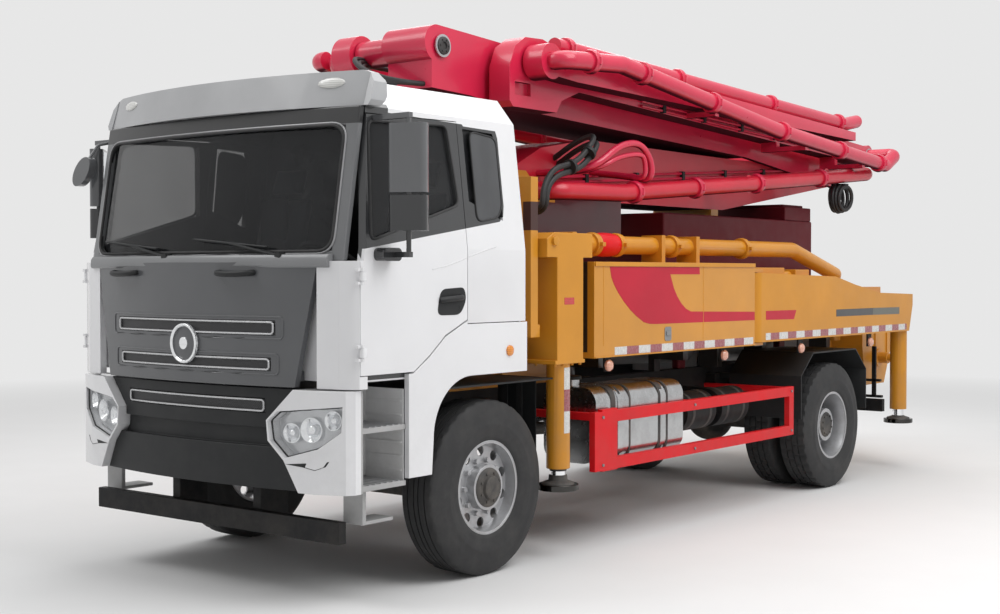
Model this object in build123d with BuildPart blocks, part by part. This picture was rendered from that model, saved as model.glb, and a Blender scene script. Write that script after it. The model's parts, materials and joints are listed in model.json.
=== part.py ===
"""Truck-mounted concrete pump on a two-axle chassis, with a five-section boom folded over it.

Millimetres. +X is the vehicle's left side, +Y points to its rear, +Z up. The origin is on the
ground in the middle of the vehicle's length. Stations are distances behind the front axle.
"""
import os
from math import cos, hypot, pi, sin

from build123d import *

os.makedirs("parts", exist_ok=True)

# ---- overall sizes ---------------------------------------------------------------------
FRONT_OVERHANG = 1400
WHEELBASE = 4700
REAR_OVERHANG = 2430
HALF_WIDTH = 1250
LENGTH = FRONT_OVERHANG + WHEELBASE + REAR_OVERHANG
FRONT_AXLE_Y = FRONT_OVERHANG - LENGTH / 2

FIT = 0.05  # radial clearance of a pin in its bore
GAP = 5  # clearance between pieces that move past each other
SEAM = 4  # open seam between neighbouring body panels


def st(station):
    """Y of a place so far behind the front axle."""
    return FRONT_AXLE_Y + station


def block(x, station, z, mode=Mode.ADD):
    """Box between two X values, two stations and two heights."""
    centre = (sum(x) / 2, st(sum(station) / 2), sum(z) / 2)
    with Locations(centre):
        Box(abs(x[1] - x[0]), abs(station[1] - station[0]), abs(z[1] - z[0]), mode=mode)


def side_profile(points, x, mode=Mode.ADD):
    """Outline of (station, height) corners, as deep as the two X values say."""
    with BuildSketch(Plane.YZ.offset(min(x))) as outline:
        with BuildLine():
            Polyline(*[(st(s), z) for s, z in points], close=True)
        make_face()
    extrude(outline.sketch, amount=abs(x[1] - x[0]), mode=mode)


def front_profile(points, station, mode=Mode.ADD):
    """Outline of (X, height) corners, as deep as the two stations say."""
    with BuildSketch(Plane.XZ.offset(-st(max(station)))) as outline:
        with BuildLine():
            Polyline(*points, close=True)
        make_face()
    extrude(outline.sketch, amount=max(station) - min(station), mode=mode)


def cross_rod(station, z, radius, x, mode=Mode.ADD):
    """Round bar or bore along X."""
    with BuildSketch(Plane.YZ.offset(min(x))) as outline:
        with Locations((st(station), z)):
            Circle(radius)
    extrude(outline.sketch, amount=abs(x[1] - x[0]), mode=mode)


def post(x, station, radius, z, mode=Mode.ADD):
    """Round bar or bore along Z."""
    with BuildSketch(Plane.XY.offset(min(z))) as outline:
        with Locations((x, st(station))):
            Circle(radius)
    extrude(outline.sketch, amount=abs(z[1] - z[0]), mode=mode)


def pipe(points, radius, bend, mode=Mode.ADD):
    """Round pipe through (X, station, Z) points, straight runs joined by tangent arcs."""
    route = [(x, st(s), z) for x, s, z in points]
    with BuildLine() as path:
        if len(route) > 2:
            FilletPolyline(*route, radius=bend)
        else:
            Polyline(*route)
    with BuildSketch(Plane(origin=path.line @ 0, z_dir=path.line % 0)) as section:
        Circle(radius)
    sweep(section.sketch, path=path.line, mode=mode)


def revolved(points, side, station, z):
    """Body turned about a wheel's axle from (X, radius) corners on the left, or mirrored."""
    with BuildSketch(Plane.XY.offset(z)) as outline:
        with BuildLine():
            Polyline(*[(side * x, st(station) + r) for x, r in points], close=True)
        make_face()
    revolve(outline.sketch, axis=Axis((0, st(station), z), (1, 0, 0)))


def save(piece, name):
    piece.part.label = name
    export_step(piece.part, f"parts/{name}.step")


SIDES = (("left", 1), ("right", -1))

# ---- wheels and axles ------------------------------------------------------------------
AXLE_Z = 540
TYRE_R = 540
TYRE_WIDTH = 290
FRONT_TRACK = 1035  # tyre centre from the middle
REAR_TRACK = 1095  # outer tyre centre
DUAL_SPACING = 335
RIM_R = 285  # bead seat
RIM_WALL = 14
RIM_WIDTH = 240
SHOULDER = 55
DISC_THICK = 14
HUB_R = 140
STUB_R = 45
BOLT_CIRCLE_R = 168
BOLTS = 10
NUT_R = 16
HAND_HOLE_R = 32
HAND_HOLE_CIRCLE_R = 222
KINGPIN_X = 860
KINGPIN_R = 28
BEAM_HALF = 60
EYE_R = 44

RAIL_X = 430  # outer face of a frame rail
RAIL_WIDTH = 80
RAIL_WALL = 10
RAIL_TOP = 1060
RAIL_DEPTH = 280
RAIL_FRONT = -1000
RAIL_REAR = WHEELBASE + 1500


def tyre(side, centre, station):
    """Tyre's solid of revolution: flat tread, rounded-off shoulders and an open bead."""
    half = TYRE_WIDTH / 2
    revolved(
        [
            (centre - half + 25, RIM_R + 1),
            (centre - half + 8, RIM_R + 60),
            (centre - half, TYRE_R - 150),
            (centre - half + 12, TYRE_R - SHOULDER),
            (centre - half + 40, TYRE_R - 12),
            (centre - half + 75, TYRE_R),
            (centre + half - 75, TYRE_R),
            (centre + half - 40, TYRE_R - 12),
            (centre + half - 12, TYRE_R - SHOULDER),
            (centre + half, TYRE_R - 150),
            (centre + half - 8, RIM_R + 60),
            (centre + half - 25, RIM_R + 1),
        ],
        side,
        station,
        AXLE_Z,
    )


def rim_barrel(side, centre, station):
    """Rolled rim ring with a lip at each edge."""
    half = RIM_WIDTH / 2
    inner = RIM_R - RIM_WALL
    revolved(
        [
            (centre - half, inner),
            (centre + half, inner),
            (centre + half, RIM_R),
            (centre - half, RIM_R),
        ],
        side,
        station,
        AXLE_Z,
    )


def wheel_disc(side, x_face, x_hub, station):
    """Disc from the hub out to the rim barrel, with hand holes and nuts."""
    x_in = x_face - DISC_THICK
    cross_rod(station, AXLE_Z, RIM_R - RIM_WALL + 1, (side * x_in, side * x_face))
    for turn in range(BOLTS):
        angle = 2 * pi * (turn + 0.5) / BOLTS
        s = station + HAND_HOLE_CIRCLE_R * cos(angle)
        z = AXLE_Z + HAND_HOLE_CIRCLE_R * sin(angle)
        cross_rod(s, z, HAND_HOLE_R, (side * x_in, side * x_face), mode=Mode.SUBTRACT)
    for turn in range(BOLTS):
        angle = 2 * pi * turn / BOLTS
        s = station + BOLT_CIRCLE_R * cos(angle)
        z = AXLE_Z + BOLT_CIRCLE_R * sin(angle)
        cross_rod(s, z, NUT_R, (side * (x_face - 2), side * (x_face + 26)))
    cross_rod(station, AXLE_Z, HUB_R, (side * x_in, side * x_hub))


# Front wheels: disc near the outer edge, hub standing out of it.
FRONT_DISC_X = FRONT_TRACK + 55
FRONT_HUB_X = FRONT_TRACK + 120
FRONT_HUB_IN = FRONT_TRACK - 95
STUB_END = FRONT_HUB_X - 25
for name, side in SIDES:
    with BuildPart() as front_tyre:
        tyre(side, FRONT_TRACK, 0)
    save(front_tyre, f"tyre_front_{name}")

    with BuildPart() as front_rim:
        rim_barrel(side, FRONT_TRACK, 0)
        wheel_disc(side, FRONT_DISC_X, FRONT_HUB_X, 0)
        cross_rod(0, AXLE_Z, HUB_R - 20, (side * FRONT_HUB_IN, side * FRONT_DISC_X))
        cross_rod(
            0, AXLE_Z, STUB_R + FIT, (side * (FRONT_HUB_IN - 1), side * STUB_END), mode=Mode.SUBTRACT
        )
    save(front_rim, f"rim_front_{name}")

    # Knuckle: an upper and a lower ear on the kingpin, and the stub the hub turns on.
    ear = 34
    with BuildPart() as knuckle:
        ear_x = (side * (KINGPIN_X - 45), side * (KINGPIN_X + 75))
        low = AXLE_Z - BEAM_HALF - GAP
        high = AXLE_Z + BEAM_HALF + GAP
        block(ear_x, (-45, 45), (low - ear, low))
        block(ear_x, (-45, 45), (high, high + ear))
        block((side * (KINGPIN_X + 50), side * (KINGPIN_X + 75)), (-65, 65), (low - ear, high + ear))
        cross_rod(0, AXLE_Z, STUB_R, (side * (KINGPIN_X + 50), side * (STUB_END - 3)))
        post(side * KINGPIN_X, 0, KINGPIN_R, (low - ear, high + ear))
        block((side * (KINGPIN_X - 20), side * (KINGPIN_X + 20)), (40, 190), (low - ear, low - 4))
    save(knuckle, f"knuckle_{name}")

SPRING_X = (RAIL_X + 5, RAIL_X + 80)
SPRING_HALF = 780
SPRING_THICK = 60
FRONT_BEAM_DROP = 110
with BuildPart() as front_axle:
    for side in (1, -1):
        post(side * KINGPIN_X, 0, EYE_R, (AXLE_Z - BEAM_HALF, AXLE_Z + BEAM_HALF))
        front_profile(
            [
                (side * (KINGPIN_X - 60), AXLE_Z - BEAM_HALF),
                (side * (KINGPIN_X - 10), AXLE_Z - BEAM_HALF),
                (side * (KINGPIN_X - 10), AXLE_Z + BEAM_HALF),
                (side * (KINGPIN_X - 60), AXLE_Z + BEAM_HALF),
                (side * 560, AXLE_Z - FRONT_BEAM_DROP + 100),
                (side * 560, AXLE_Z - FRONT_BEAM_DROP),
            ],
            (-42, 42),
        )
        post(
            side * KINGPIN_X,
            0,
            KINGPIN_R + FIT,
            (AXLE_Z - BEAM_HALF - 1, AXLE_Z + BEAM_HALF + 1),
            mode=Mode.SUBTRACT,
        )
        spring_z = AXLE_Z - FRONT_BEAM_DROP + 100
        block((side * SPRING_X[0], side * SPRING_X[1]), (-60, 60), (spring_z, spring_z + 2 * SPRING_THICK))
        side_profile(
            [
                (-SPRING_HALF, spring_z + 330),
                (-SPRING_HALF / 2, spring_z + 150),
                (0, spring_z + SPRING_THICK),
                (SPRING_HALF / 2, spring_z + 150),
                (SPRING_HALF, spring_z + 330),
                (SPRING_HALF, spring_z + 345),
                (SPRING_HALF / 2, spring_z + 200),
                (0, spring_z + 2 * SPRING_THICK),
                (-SPRING_HALF / 2, spring_z + 200),
                (-SPRING_HALF, spring_z + 345),
            ],
            (side * SPRING_X[0], side * SPRING_X[1]),
        )
    block((-560, 560), (-42, 42), (AXLE_Z - FRONT_BEAM_DROP, AXLE_Z - FRONT_BEAM_DROP + 100))
save(front_axle, "front_axle")

# Rear wheels: two tyres and rims on one hub.
REAR_INNER_TRACK = REAR_TRACK - DUAL_SPACING
REAR_DISC_X = REAR_INNER_TRACK + DUAL_SPACING / 2 + DISC_THICK
REAR_HUB_X = REAR_TRACK + 60
REAR_HUB_IN = REAR_INNER_TRACK - 60
REAR_SHAFT_END = REAR_HUB_X - 30
for name, side in SIDES:
    with BuildPart() as rear_tyre:
        tyre(side, REAR_TRACK, WHEELBASE)
        tyre(side, REAR_INNER_TRACK, WHEELBASE)
    save(rear_tyre, f"tyre_rear_{name}")

    with BuildPart() as rear_rim:
        rim_barrel(side, REAR_TRACK, WHEELBASE)
        rim_barrel(side, REAR_INNER_TRACK, WHEELBASE)
        revolved(
            [
                (REAR_INNER_TRACK + RIM_WIDTH / 2 - 1, RIM_R - 2 * RIM_WALL),
                (REAR_TRACK - RIM_WIDTH / 2 + 1, RIM_R - 2 * RIM_WALL),
                (REAR_TRACK - RIM_WIDTH / 2 + 1, RIM_R - 2),
                (REAR_INNER_TRACK + RIM_WIDTH / 2 - 1, RIM_R - 2),
            ],
            side,
            WHEELBASE,
            AXLE_Z,
        )
        wheel_disc(side, REAR_DISC_X, REAR_HUB_X, WHEELBASE)
        cross_rod(WHEELBASE, AXLE_Z, HUB_R - 10, (side * REAR_HUB_IN, side * REAR_DISC_X))
        cross_rod(
            WHEELBASE,
            AXLE_Z,
            STUB_R + FIT,
            (side * (REAR_HUB_IN - 1), side * REAR_SHAFT_END),
            mode=Mode.SUBTRACT,
        )
    save(rear_rim, f"rim_rear_{name}")

HOUSING_R = 80
PROP_R = 50
with BuildPart() as rear_axle:
    half = REAR_HUB_IN - 12
    cross_rod(WHEELBASE, AXLE_Z, HOUSING_R, (-half, half))
    cross_rod(WHEELBASE, AXLE_Z, STUB_R, (-(REAR_SHAFT_END - 3), REAR_SHAFT_END - 3))
    with Locations((0, st(WHEELBASE), AXLE_Z)):
        Sphere(215)
    pipe([(0, WHEELBASE - 150, AXLE_Z), (0, 1105, 700)], PROP_R, 0)
    for side in (1, -1):
        spring = (side * (RAIL_X + 5), side * (RAIL_X + 90))
        block(spring, (WHEELBASE - 90, WHEELBASE + 90), (AXLE_Z, AXLE_Z + 200))
        side_profile(
            [
                (WHEELBASE - SPRING_HALF, AXLE_Z + 360),
                (WHEELBASE, AXLE_Z + 110),
                (WHEELBASE + SPRING_HALF, AXLE_Z + 360),
                (WHEELBASE + SPRING_HALF, AXLE_Z + 380),
                (WHEELBASE, AXLE_Z + 200),
                (WHEELBASE - SPRING_HALF, AXLE_Z + 380),
            ],
            spring,
        )
save(rear_axle, "rear_axle")

# ---- ladder frame ----------------------------------------------------------------------
# Crossmembers: station of each one's middle.
CROSSMEMBERS = (-900, 350, 1750, 2900, WHEELBASE - 650, WHEELBASE + 700, WHEELBASE + 1420)
CROSSMEMBER_LENGTH = 120
with BuildPart() as chassis_frame:
    for side in (1, -1):
        outer = (side * (RAIL_X - RAIL_WIDTH), side * RAIL_X)
        block(outer, (RAIL_FRONT, RAIL_REAR), (RAIL_TOP - RAIL_DEPTH, RAIL_TOP))
        inner = (side * (RAIL_X - RAIL_WIDTH - 1), side * (RAIL_X - RAIL_WALL))
        block(
            inner,
            (RAIL_FRONT - 1, RAIL_REAR + 1),
            (RAIL_TOP - RAIL_DEPTH + RAIL_WALL, RAIL_TOP - RAIL_WALL),
            mode=Mode.SUBTRACT,
        )
        # Spring hangers on the outer faces.
        for axle_station, hanger_z in ((0, 875), (WHEELBASE, 920)):
            for end in (-SPRING_HALF, SPRING_HALF):
                s = axle_station + end
                block((side * RAIL_X, side * (RAIL_X + 95)), (s - 40, s + 40), (hanger_z, RAIL_TOP - 60))
    for s in CROSSMEMBERS:
        reach = RAIL_X - RAIL_WALL
        block(
            (-reach, reach),
            (s - CROSSMEMBER_LENGTH / 2, s + CROSSMEMBER_LENGTH / 2),
            (RAIL_TOP - RAIL_DEPTH + 60, RAIL_TOP - 60),
        )
save(chassis_frame, "chassis_frame")

ENGINE_HALF_WIDTH = 330
with BuildPart() as engine_block:
    block((-ENGINE_HALF_WIDTH, ENGINE_HALF_WIDTH), (-820, 270), (620, 1330))
    block((-200, 200), (270, 290), (640, 1000))
    block((-180, 180), (420, 1100), (600, 980))
    cross_rod(345, 700, 40, (-100, 100))
    block((-60, 60), (270, 430), (640, 780))
    block((-RAIL_X + RAIL_WALL, RAIL_X - RAIL_WALL), (-320, -240), (860, 930))
save(engine_block, "engine_block")

# ---- cab -------------------------------------------------------------------------------
CAB_HALF = 1220
CAB_REAR = 290
CAB_BELT_Z = 2000
CAB_EAVE_Z = 2790
CAB_ROOF_Z = 2980
CAB_LEAN = 95  # how far each side comes in between belt and eave
CAB_WALL = 45
CAB_FLOOR_Z = 1255
SEAM_FRONT = -1200  # door's front edge
SEAM_REAR = -275
SILL_Z = 1880
HOOD_BOTTOM_Z = 1220
SCREEN_BOTTOM_Z = 1925
SCREEN_TOP_Z = 2790
SCREEN_LEAN = 140  # how far the screen comes back over its height
SCREEN_HALF = 1040
FRONT_BOW = 110  # how far the middle stands ahead of the corners
CORNER_X = 970
CORNER_STATION = -1290
NOSE_STATION = -1400
TUNNEL_HALF = 400
TUNNEL_TOP = 1500


def cab_band(inset, thickness):
    """Cross section of the left cab wall from floor to roof middle, as (X, height) corners."""
    out = CAB_HALF - inset
    top = CAB_ROOF_Z - inset
    return [
        (out, CAB_FLOOR_Z),
        (out, CAB_BELT_Z),
        (out - CAB_LEAN, CAB_EAVE_Z),
        (out - CAB_LEAN - 130, top - 30),
        (0, top),
        (0, top - thickness),
        (out - CAB_LEAN - 130 - thickness / 2, top - 30 - thickness),
        (out - CAB_LEAN - thickness, CAB_EAVE_Z - thickness / 2),
        (out - thickness, CAB_BELT_Z),
        (out - thickness, CAB_FLOOR_Z),
    ]


def sided(points, side):
    return [(side * x, z) for x, z in points]


WINDOW = ((-1100, 2045), (-1040, 2700), (-385, 2725), (-335, 2255))
QUARTER_WINDOW = ((-225, 2290), (-225, 2725), (60, 2715), (90, 2640), (90, 2180))
DOOR = (
    (SEAM_FRONT, 1290),
    (-760, 1290),
    (-620, 1380),
    (-480, 1490),
    (SEAM_REAR, 1580),
    (SEAM_REAR, 2765),
    (-1065, 2750),
    (SEAM_FRONT, 2010),
)
DOOR_HINGES_Z = (1420, 1840)
DOOR_PIN_R = 7
HINGE_LINE_X = CAB_HALF + 17
DOOR_WALL_IN = CAB_HALF - 180  # door outlines cut the wall from here outwards


CORNER_SHARE = 1.4  # a corner moves this much more than the sides that meet in it


def widened(points, seam):
    """Outline drawn out from its middle by a seam, or drawn in where the seam is negative."""
    mid_s = sum(s for s, _ in points) / len(points)
    mid_z = sum(z for _, z in points) / len(points)
    out = []
    for s, z in points:
        share = seam * CORNER_SHARE / hypot(s - mid_s, z - mid_z)
        out.append((s + share * (s - mid_s), z + share * (z - mid_z)))
    return out


def front_band(half, station, bow, thickness, z, lean=(0, 1), mode=Mode.ADD):
    """Wall bowed forward in plan, its corners at the station, raised along a lean (dy, dz)."""
    with BuildSketch(Plane.XY.offset(z)) as plan:
        with BuildLine():
            ThreePointArc((-half, st(station)), (0, st(station - bow)), (half, st(station)))
            Line((half, st(station)), (half, st(station + thickness)))
            ThreePointArc(
                (half, st(station + thickness)),
                (0, st(station - bow + thickness)),
                (-half, st(station + thickness)),
            )
            Line((-half, st(station + thickness)), (-half, st(station)))
        make_face()
    extrude(plan.sketch, amount=hypot(*lean), dir=(0, lean[0], lean[1]), mode=mode)


# Cab shell: sides behind the doors, roof, back wall, floor, engine tunnel, front corners.
SCREEN_RISE = (SCREEN_LEAN, SCREEN_TOP_Z - SCREEN_BOTTOM_Z)
SCREEN_STATION = -1235
FRAME_DEPTH = 40
FRAME_SIDE = 85
VISOR_STATION = -1050
VISOR_BOW = 195
VISOR_RISE = (60, 205)
VISOR_THICK = 60
VISOR_HALF = CAB_HALF - 40
VISOR_END = 50  # width of the returns that close the visor's ends
AHEAD = 300  # more than anything stands ahead of the screen


def wider(half, station, bow, reach):
    """Corner station and bow of the same arc drawn out to a wider half width."""
    radius = (half**2 + bow**2) / (2 * bow)
    wide_bow = radius - (radius**2 - reach**2) ** 0.5
    return station - bow + wide_bow, wide_bow


def cut_front(seam):
    """Clears all that lies ahead of the screen frame's and the visor's rear faces."""
    reach = CAB_HALF + 30
    for half, station, bow, thick, z, rise in (
        (SCREEN_HALF + FRAME_SIDE, SCREEN_STATION, FRONT_BOW, FRAME_DEPTH, SCREEN_BOTTOM_Z, SCREEN_RISE),
        (VISOR_HALF, VISOR_STATION, VISOR_BOW, VISOR_THICK, SCREEN_TOP_Z, [2 * run for run in VISOR_RISE]),
    ):
        corner, wide_bow = wider(half, station, bow, reach)
        front_band(reach, corner - AHEAD, wide_bow, AHEAD + thick + seam, z, rise,
                   mode=Mode.SUBTRACT)


with BuildPart() as cab_shell:
    for side in (1, -1):
        front_profile(sided(cab_band(0, CAB_WALL), side), (SEAM_FRONT, CAB_REAR))
    front_profile(
        [(-CAB_HALF, CAB_FLOOR_Z), (-CAB_HALF, CAB_BELT_Z), (-CAB_HALF + CAB_LEAN, CAB_EAVE_Z),
         (-CAB_HALF + CAB_LEAN + 130, CAB_ROOF_Z - 30), (0, CAB_ROOF_Z),
         (CAB_HALF - CAB_LEAN - 130, CAB_ROOF_Z - 30), (CAB_HALF - CAB_LEAN, CAB_EAVE_Z),
         (CAB_HALF, CAB_BELT_Z), (CAB_HALF, CAB_FLOOR_Z)],
        (CAB_REAR - CAB_WALL, CAB_REAR),
    )
    block((-CAB_HALF, CAB_HALF), (SEAM_FRONT, CAB_REAR), (CAB_FLOOR_Z, CAB_FLOOR_Z + CAB_WALL))
    block((-TUNNEL_HALF, TUNNEL_HALF), (SEAM_FRONT, CAB_REAR), (CAB_FLOOR_Z, TUNNEL_TOP))
    inner = TUNNEL_HALF - CAB_WALL
    block(
        (-inner, inner), (SEAM_FRONT - 1, CAB_REAR + 1), (CAB_FLOOR_Z - 1, TUNNEL_TOP - CAB_WALL),
        mode=Mode.SUBTRACT,
    )
    for side in (1, -1):
        wall = (side * DOOR_WALL_IN, side * (CAB_HALF + 1))
        side_profile(DOOR, wall, mode=Mode.SUBTRACT)
        side_profile(QUARTER_WINDOW, wall, mode=Mode.SUBTRACT)
        # Sill strip below the door stays out of the arch: cut to the arch line.
        side_profile(
            [(SEAM_FRONT - 1, CAB_FLOOR_Z - 1), (SEAM_FRONT - 1, 1290), (-760, 1290),
             (-620, 1380), (-480, 1490), (SEAM_REAR, 1580), (SEAM_REAR, 1560), (CAB_REAR + 1, 1560),
             (CAB_REAR + 1, CAB_FLOOR_Z - 1)],
            (side * (CAB_HALF - CAB_WALL + 8), side * (CAB_HALF + 1)),
            mode=Mode.SUBTRACT,
        )
        # White front corner between hood and door seam.
        with BuildSketch(Plane.XY.offset(HOOD_BOTTOM_Z)) as corner:
            with BuildLine():
                Polyline(
                    (side * (CORNER_X + SEAM), st(CORNER_STATION + 2)),
                    (side * 1120, st(-1262)),
                    (side * 1185, st(-1235)),
                    (side * CAB_HALF, st(SEAM_FRONT - SEAM)),
                    (side * CAB_HALF, st(SEAM_FRONT + 60)),
                    (side * (CAB_HALF - 50), st(SEAM_FRONT + 60)),
                    (side * (CAB_HALF - 50), st(SEAM_FRONT - SEAM)),
                    (side * (CORNER_X + SEAM), st(CORNER_STATION + 50)),
                    close=True,
                )
            make_face()
        extrude(corner.sketch, amount=CAB_BELT_Z - HOOD_BOTTOM_Z - 60)
        side_profile(DOOR, wall, mode=Mode.SUBTRACT)
    # Front bulkhead behind the hood, up to the screen.
    block((-CORNER_X - 40, CORNER_X + 40), (-1225, SEAM_FRONT + 20), (CAB_FLOOR_Z, SCREEN_BOTTOM_Z - 25))
    block((-inner, inner), (-1226, SEAM_FRONT + 21), (CAB_FLOOR_Z - 1, TUNNEL_TOP - CAB_WALL),
          mode=Mode.SUBTRACT)
    cut_front(0)
    # Pins that the doors turn on, held between two lugs each.
    for side in (1, -1):
        for z in DOOR_HINGES_Z:
            post(side * HINGE_LINE_X, SEAM_FRONT, DOOR_PIN_R, (z - 45, z + 45))
            for low in (z - 45, z + 25 + GAP / 2):
                high = low + 20 - GAP / 2
                post(side * HINGE_LINE_X, SEAM_FRONT, DOOR_PIN_R + 6, (low, high))
                block((side * (HINGE_LINE_X - 25), side * HINGE_LINE_X), (SEAM_FRONT - 30, SEAM_FRONT),
                      (low, high))
save(cab_shell, "cab_shell")

GLASS = 8
FRAME_TOP = 110
FRAME_BOTTOM = 60
with BuildPart() as windshield_frame:
    front_band(SCREEN_HALF + FRAME_SIDE, SCREEN_STATION, FRONT_BOW, FRAME_DEPTH, SCREEN_BOTTOM_Z,
               SCREEN_RISE)
    share = FRAME_BOTTOM / SCREEN_RISE[1]
    opening_rise = tuple(part * (1 - share - FRAME_TOP / SCREEN_RISE[1]) for part in SCREEN_RISE)
    front_band(SCREEN_HALF, SCREEN_STATION + share * SCREEN_LEAN - 30, FRONT_BOW, FRAME_DEPTH + 60,
               SCREEN_BOTTOM_Z + FRAME_BOTTOM, opening_rise, mode=Mode.SUBTRACT)
save(windshield_frame, "windshield_frame")

with BuildPart() as quarter_panes:
    for side in (1, -1):
        front_profile(sided(cab_band(18, GLASS), side), (QUARTER_WINDOW[0][0], QUARTER_WINDOW[3][0]))
    side_profile(QUARTER_WINDOW, (-CAB_HALF, CAB_HALF), mode=Mode.INTERSECT)
    block((-DOOR_WALL_IN, DOOR_WALL_IN), (SEAM_REAR, CAB_REAR), (CAB_BELT_Z, CAB_ROOF_Z),
          mode=Mode.SUBTRACT)

with BuildPart() as cab_glass:
    front_band(SCREEN_HALF, SCREEN_STATION + share * SCREEN_LEAN + 12, FRONT_BOW, GLASS,
               SCREEN_BOTTOM_Z + FRAME_BOTTOM, opening_rise)
    add(quarter_panes.part)
save(cab_glass, "cab_glass")

GRILLE_SLOTS = ((0, 1550, 700, 82), (0, 1345, 670, 74))  # x, z of the middle, half width, height
GRILLE_INSET = 18
with BuildPart() as front_panel:
    front_band(CORNER_X, CORNER_STATION, FRONT_BOW, 40, HOOD_BOTTOM_Z,
               (0, SCREEN_BOTTOM_Z - HOOD_BOTTOM_Z - 2))
    for side in (1, -1):
        front_profile(
            [(side * 830, HOOD_BOTTOM_Z - 1), (side * 985, HOOD_BOTTOM_Z - 1), (side * 985, SILL_Z),
             (side * CORNER_X, SILL_Z)],
            (CORNER_STATION - FRONT_BOW, CORNER_STATION + 60),
            mode=Mode.SUBTRACT,
        )
    for x, z, half, height in GRILLE_SLOTS:
        block((x - half, x + half), (CORNER_STATION - 160, CORNER_STATION + 60),
              (z - height / 2, z + height / 2), mode=Mode.SUBTRACT)
    # Brackets back to the bulkhead: x of the middle, how far forward, height.
    for x, front, z in ((785, -1300, 1280), (910, -1275, 1820)):
        for side in (1, -1):
            block((side * (x - 30), side * (x + 30)), (front, -1225), (z - 30, z + 30))
save(front_panel, "front_panel")

with BuildPart() as grille_mesh:
    for x, z, half, height in GRILLE_SLOTS:
        corner, bow = wider(CORNER_X, CORNER_STATION, FRONT_BOW, half)
        front_band(half, corner + 6, bow, 16, z - height / 2, (0, height))
save(grille_mesh, "grille_mesh")

VISOR_TOP_Z = SCREEN_TOP_Z + VISOR_RISE[1]
with BuildPart() as sun_visor:
    front_band(VISOR_HALF, VISOR_STATION, VISOR_BOW, VISOR_THICK, SCREEN_TOP_Z, VISOR_RISE)
    for side in (1, -1):
        side_profile(
            [(VISOR_STATION - 25, SCREEN_TOP_Z), (VISOR_STATION + 80, SCREEN_TOP_Z),
             (VISOR_STATION + 120, SCREEN_TOP_Z + 60), (VISOR_STATION + 125, VISOR_TOP_Z - 55),
             (VISOR_STATION + 85, VISOR_TOP_Z), (VISOR_STATION + 40, VISOR_TOP_Z)],
            (side * (VISOR_HALF - VISOR_END), side * VISOR_HALF),
        )
    # Ends rounded off towards the top and, less, towards the bottom.
    front_profile(
        [(-VISOR_HALF + 18, SCREEN_TOP_Z), (VISOR_HALF - 18, SCREEN_TOP_Z),
         (VISOR_HALF, SCREEN_TOP_Z + 30), (VISOR_HALF - 12, VISOR_TOP_Z - 70),
         (VISOR_HALF - 50, VISOR_TOP_Z - 15), (VISOR_HALF - 100, VISOR_TOP_Z),
         (-VISOR_HALF + 100, VISOR_TOP_Z), (-VISOR_HALF + 50, VISOR_TOP_Z - 15),
         (-VISOR_HALF + 12, VISOR_TOP_Z - 70), (-VISOR_HALF, SCREEN_TOP_Z + 30)],
        (VISOR_STATION - VISOR_BOW - 50, VISOR_STATION + 200),
        mode=Mode.INTERSECT,
    )
save(sun_visor, "sun_visor")

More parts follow.
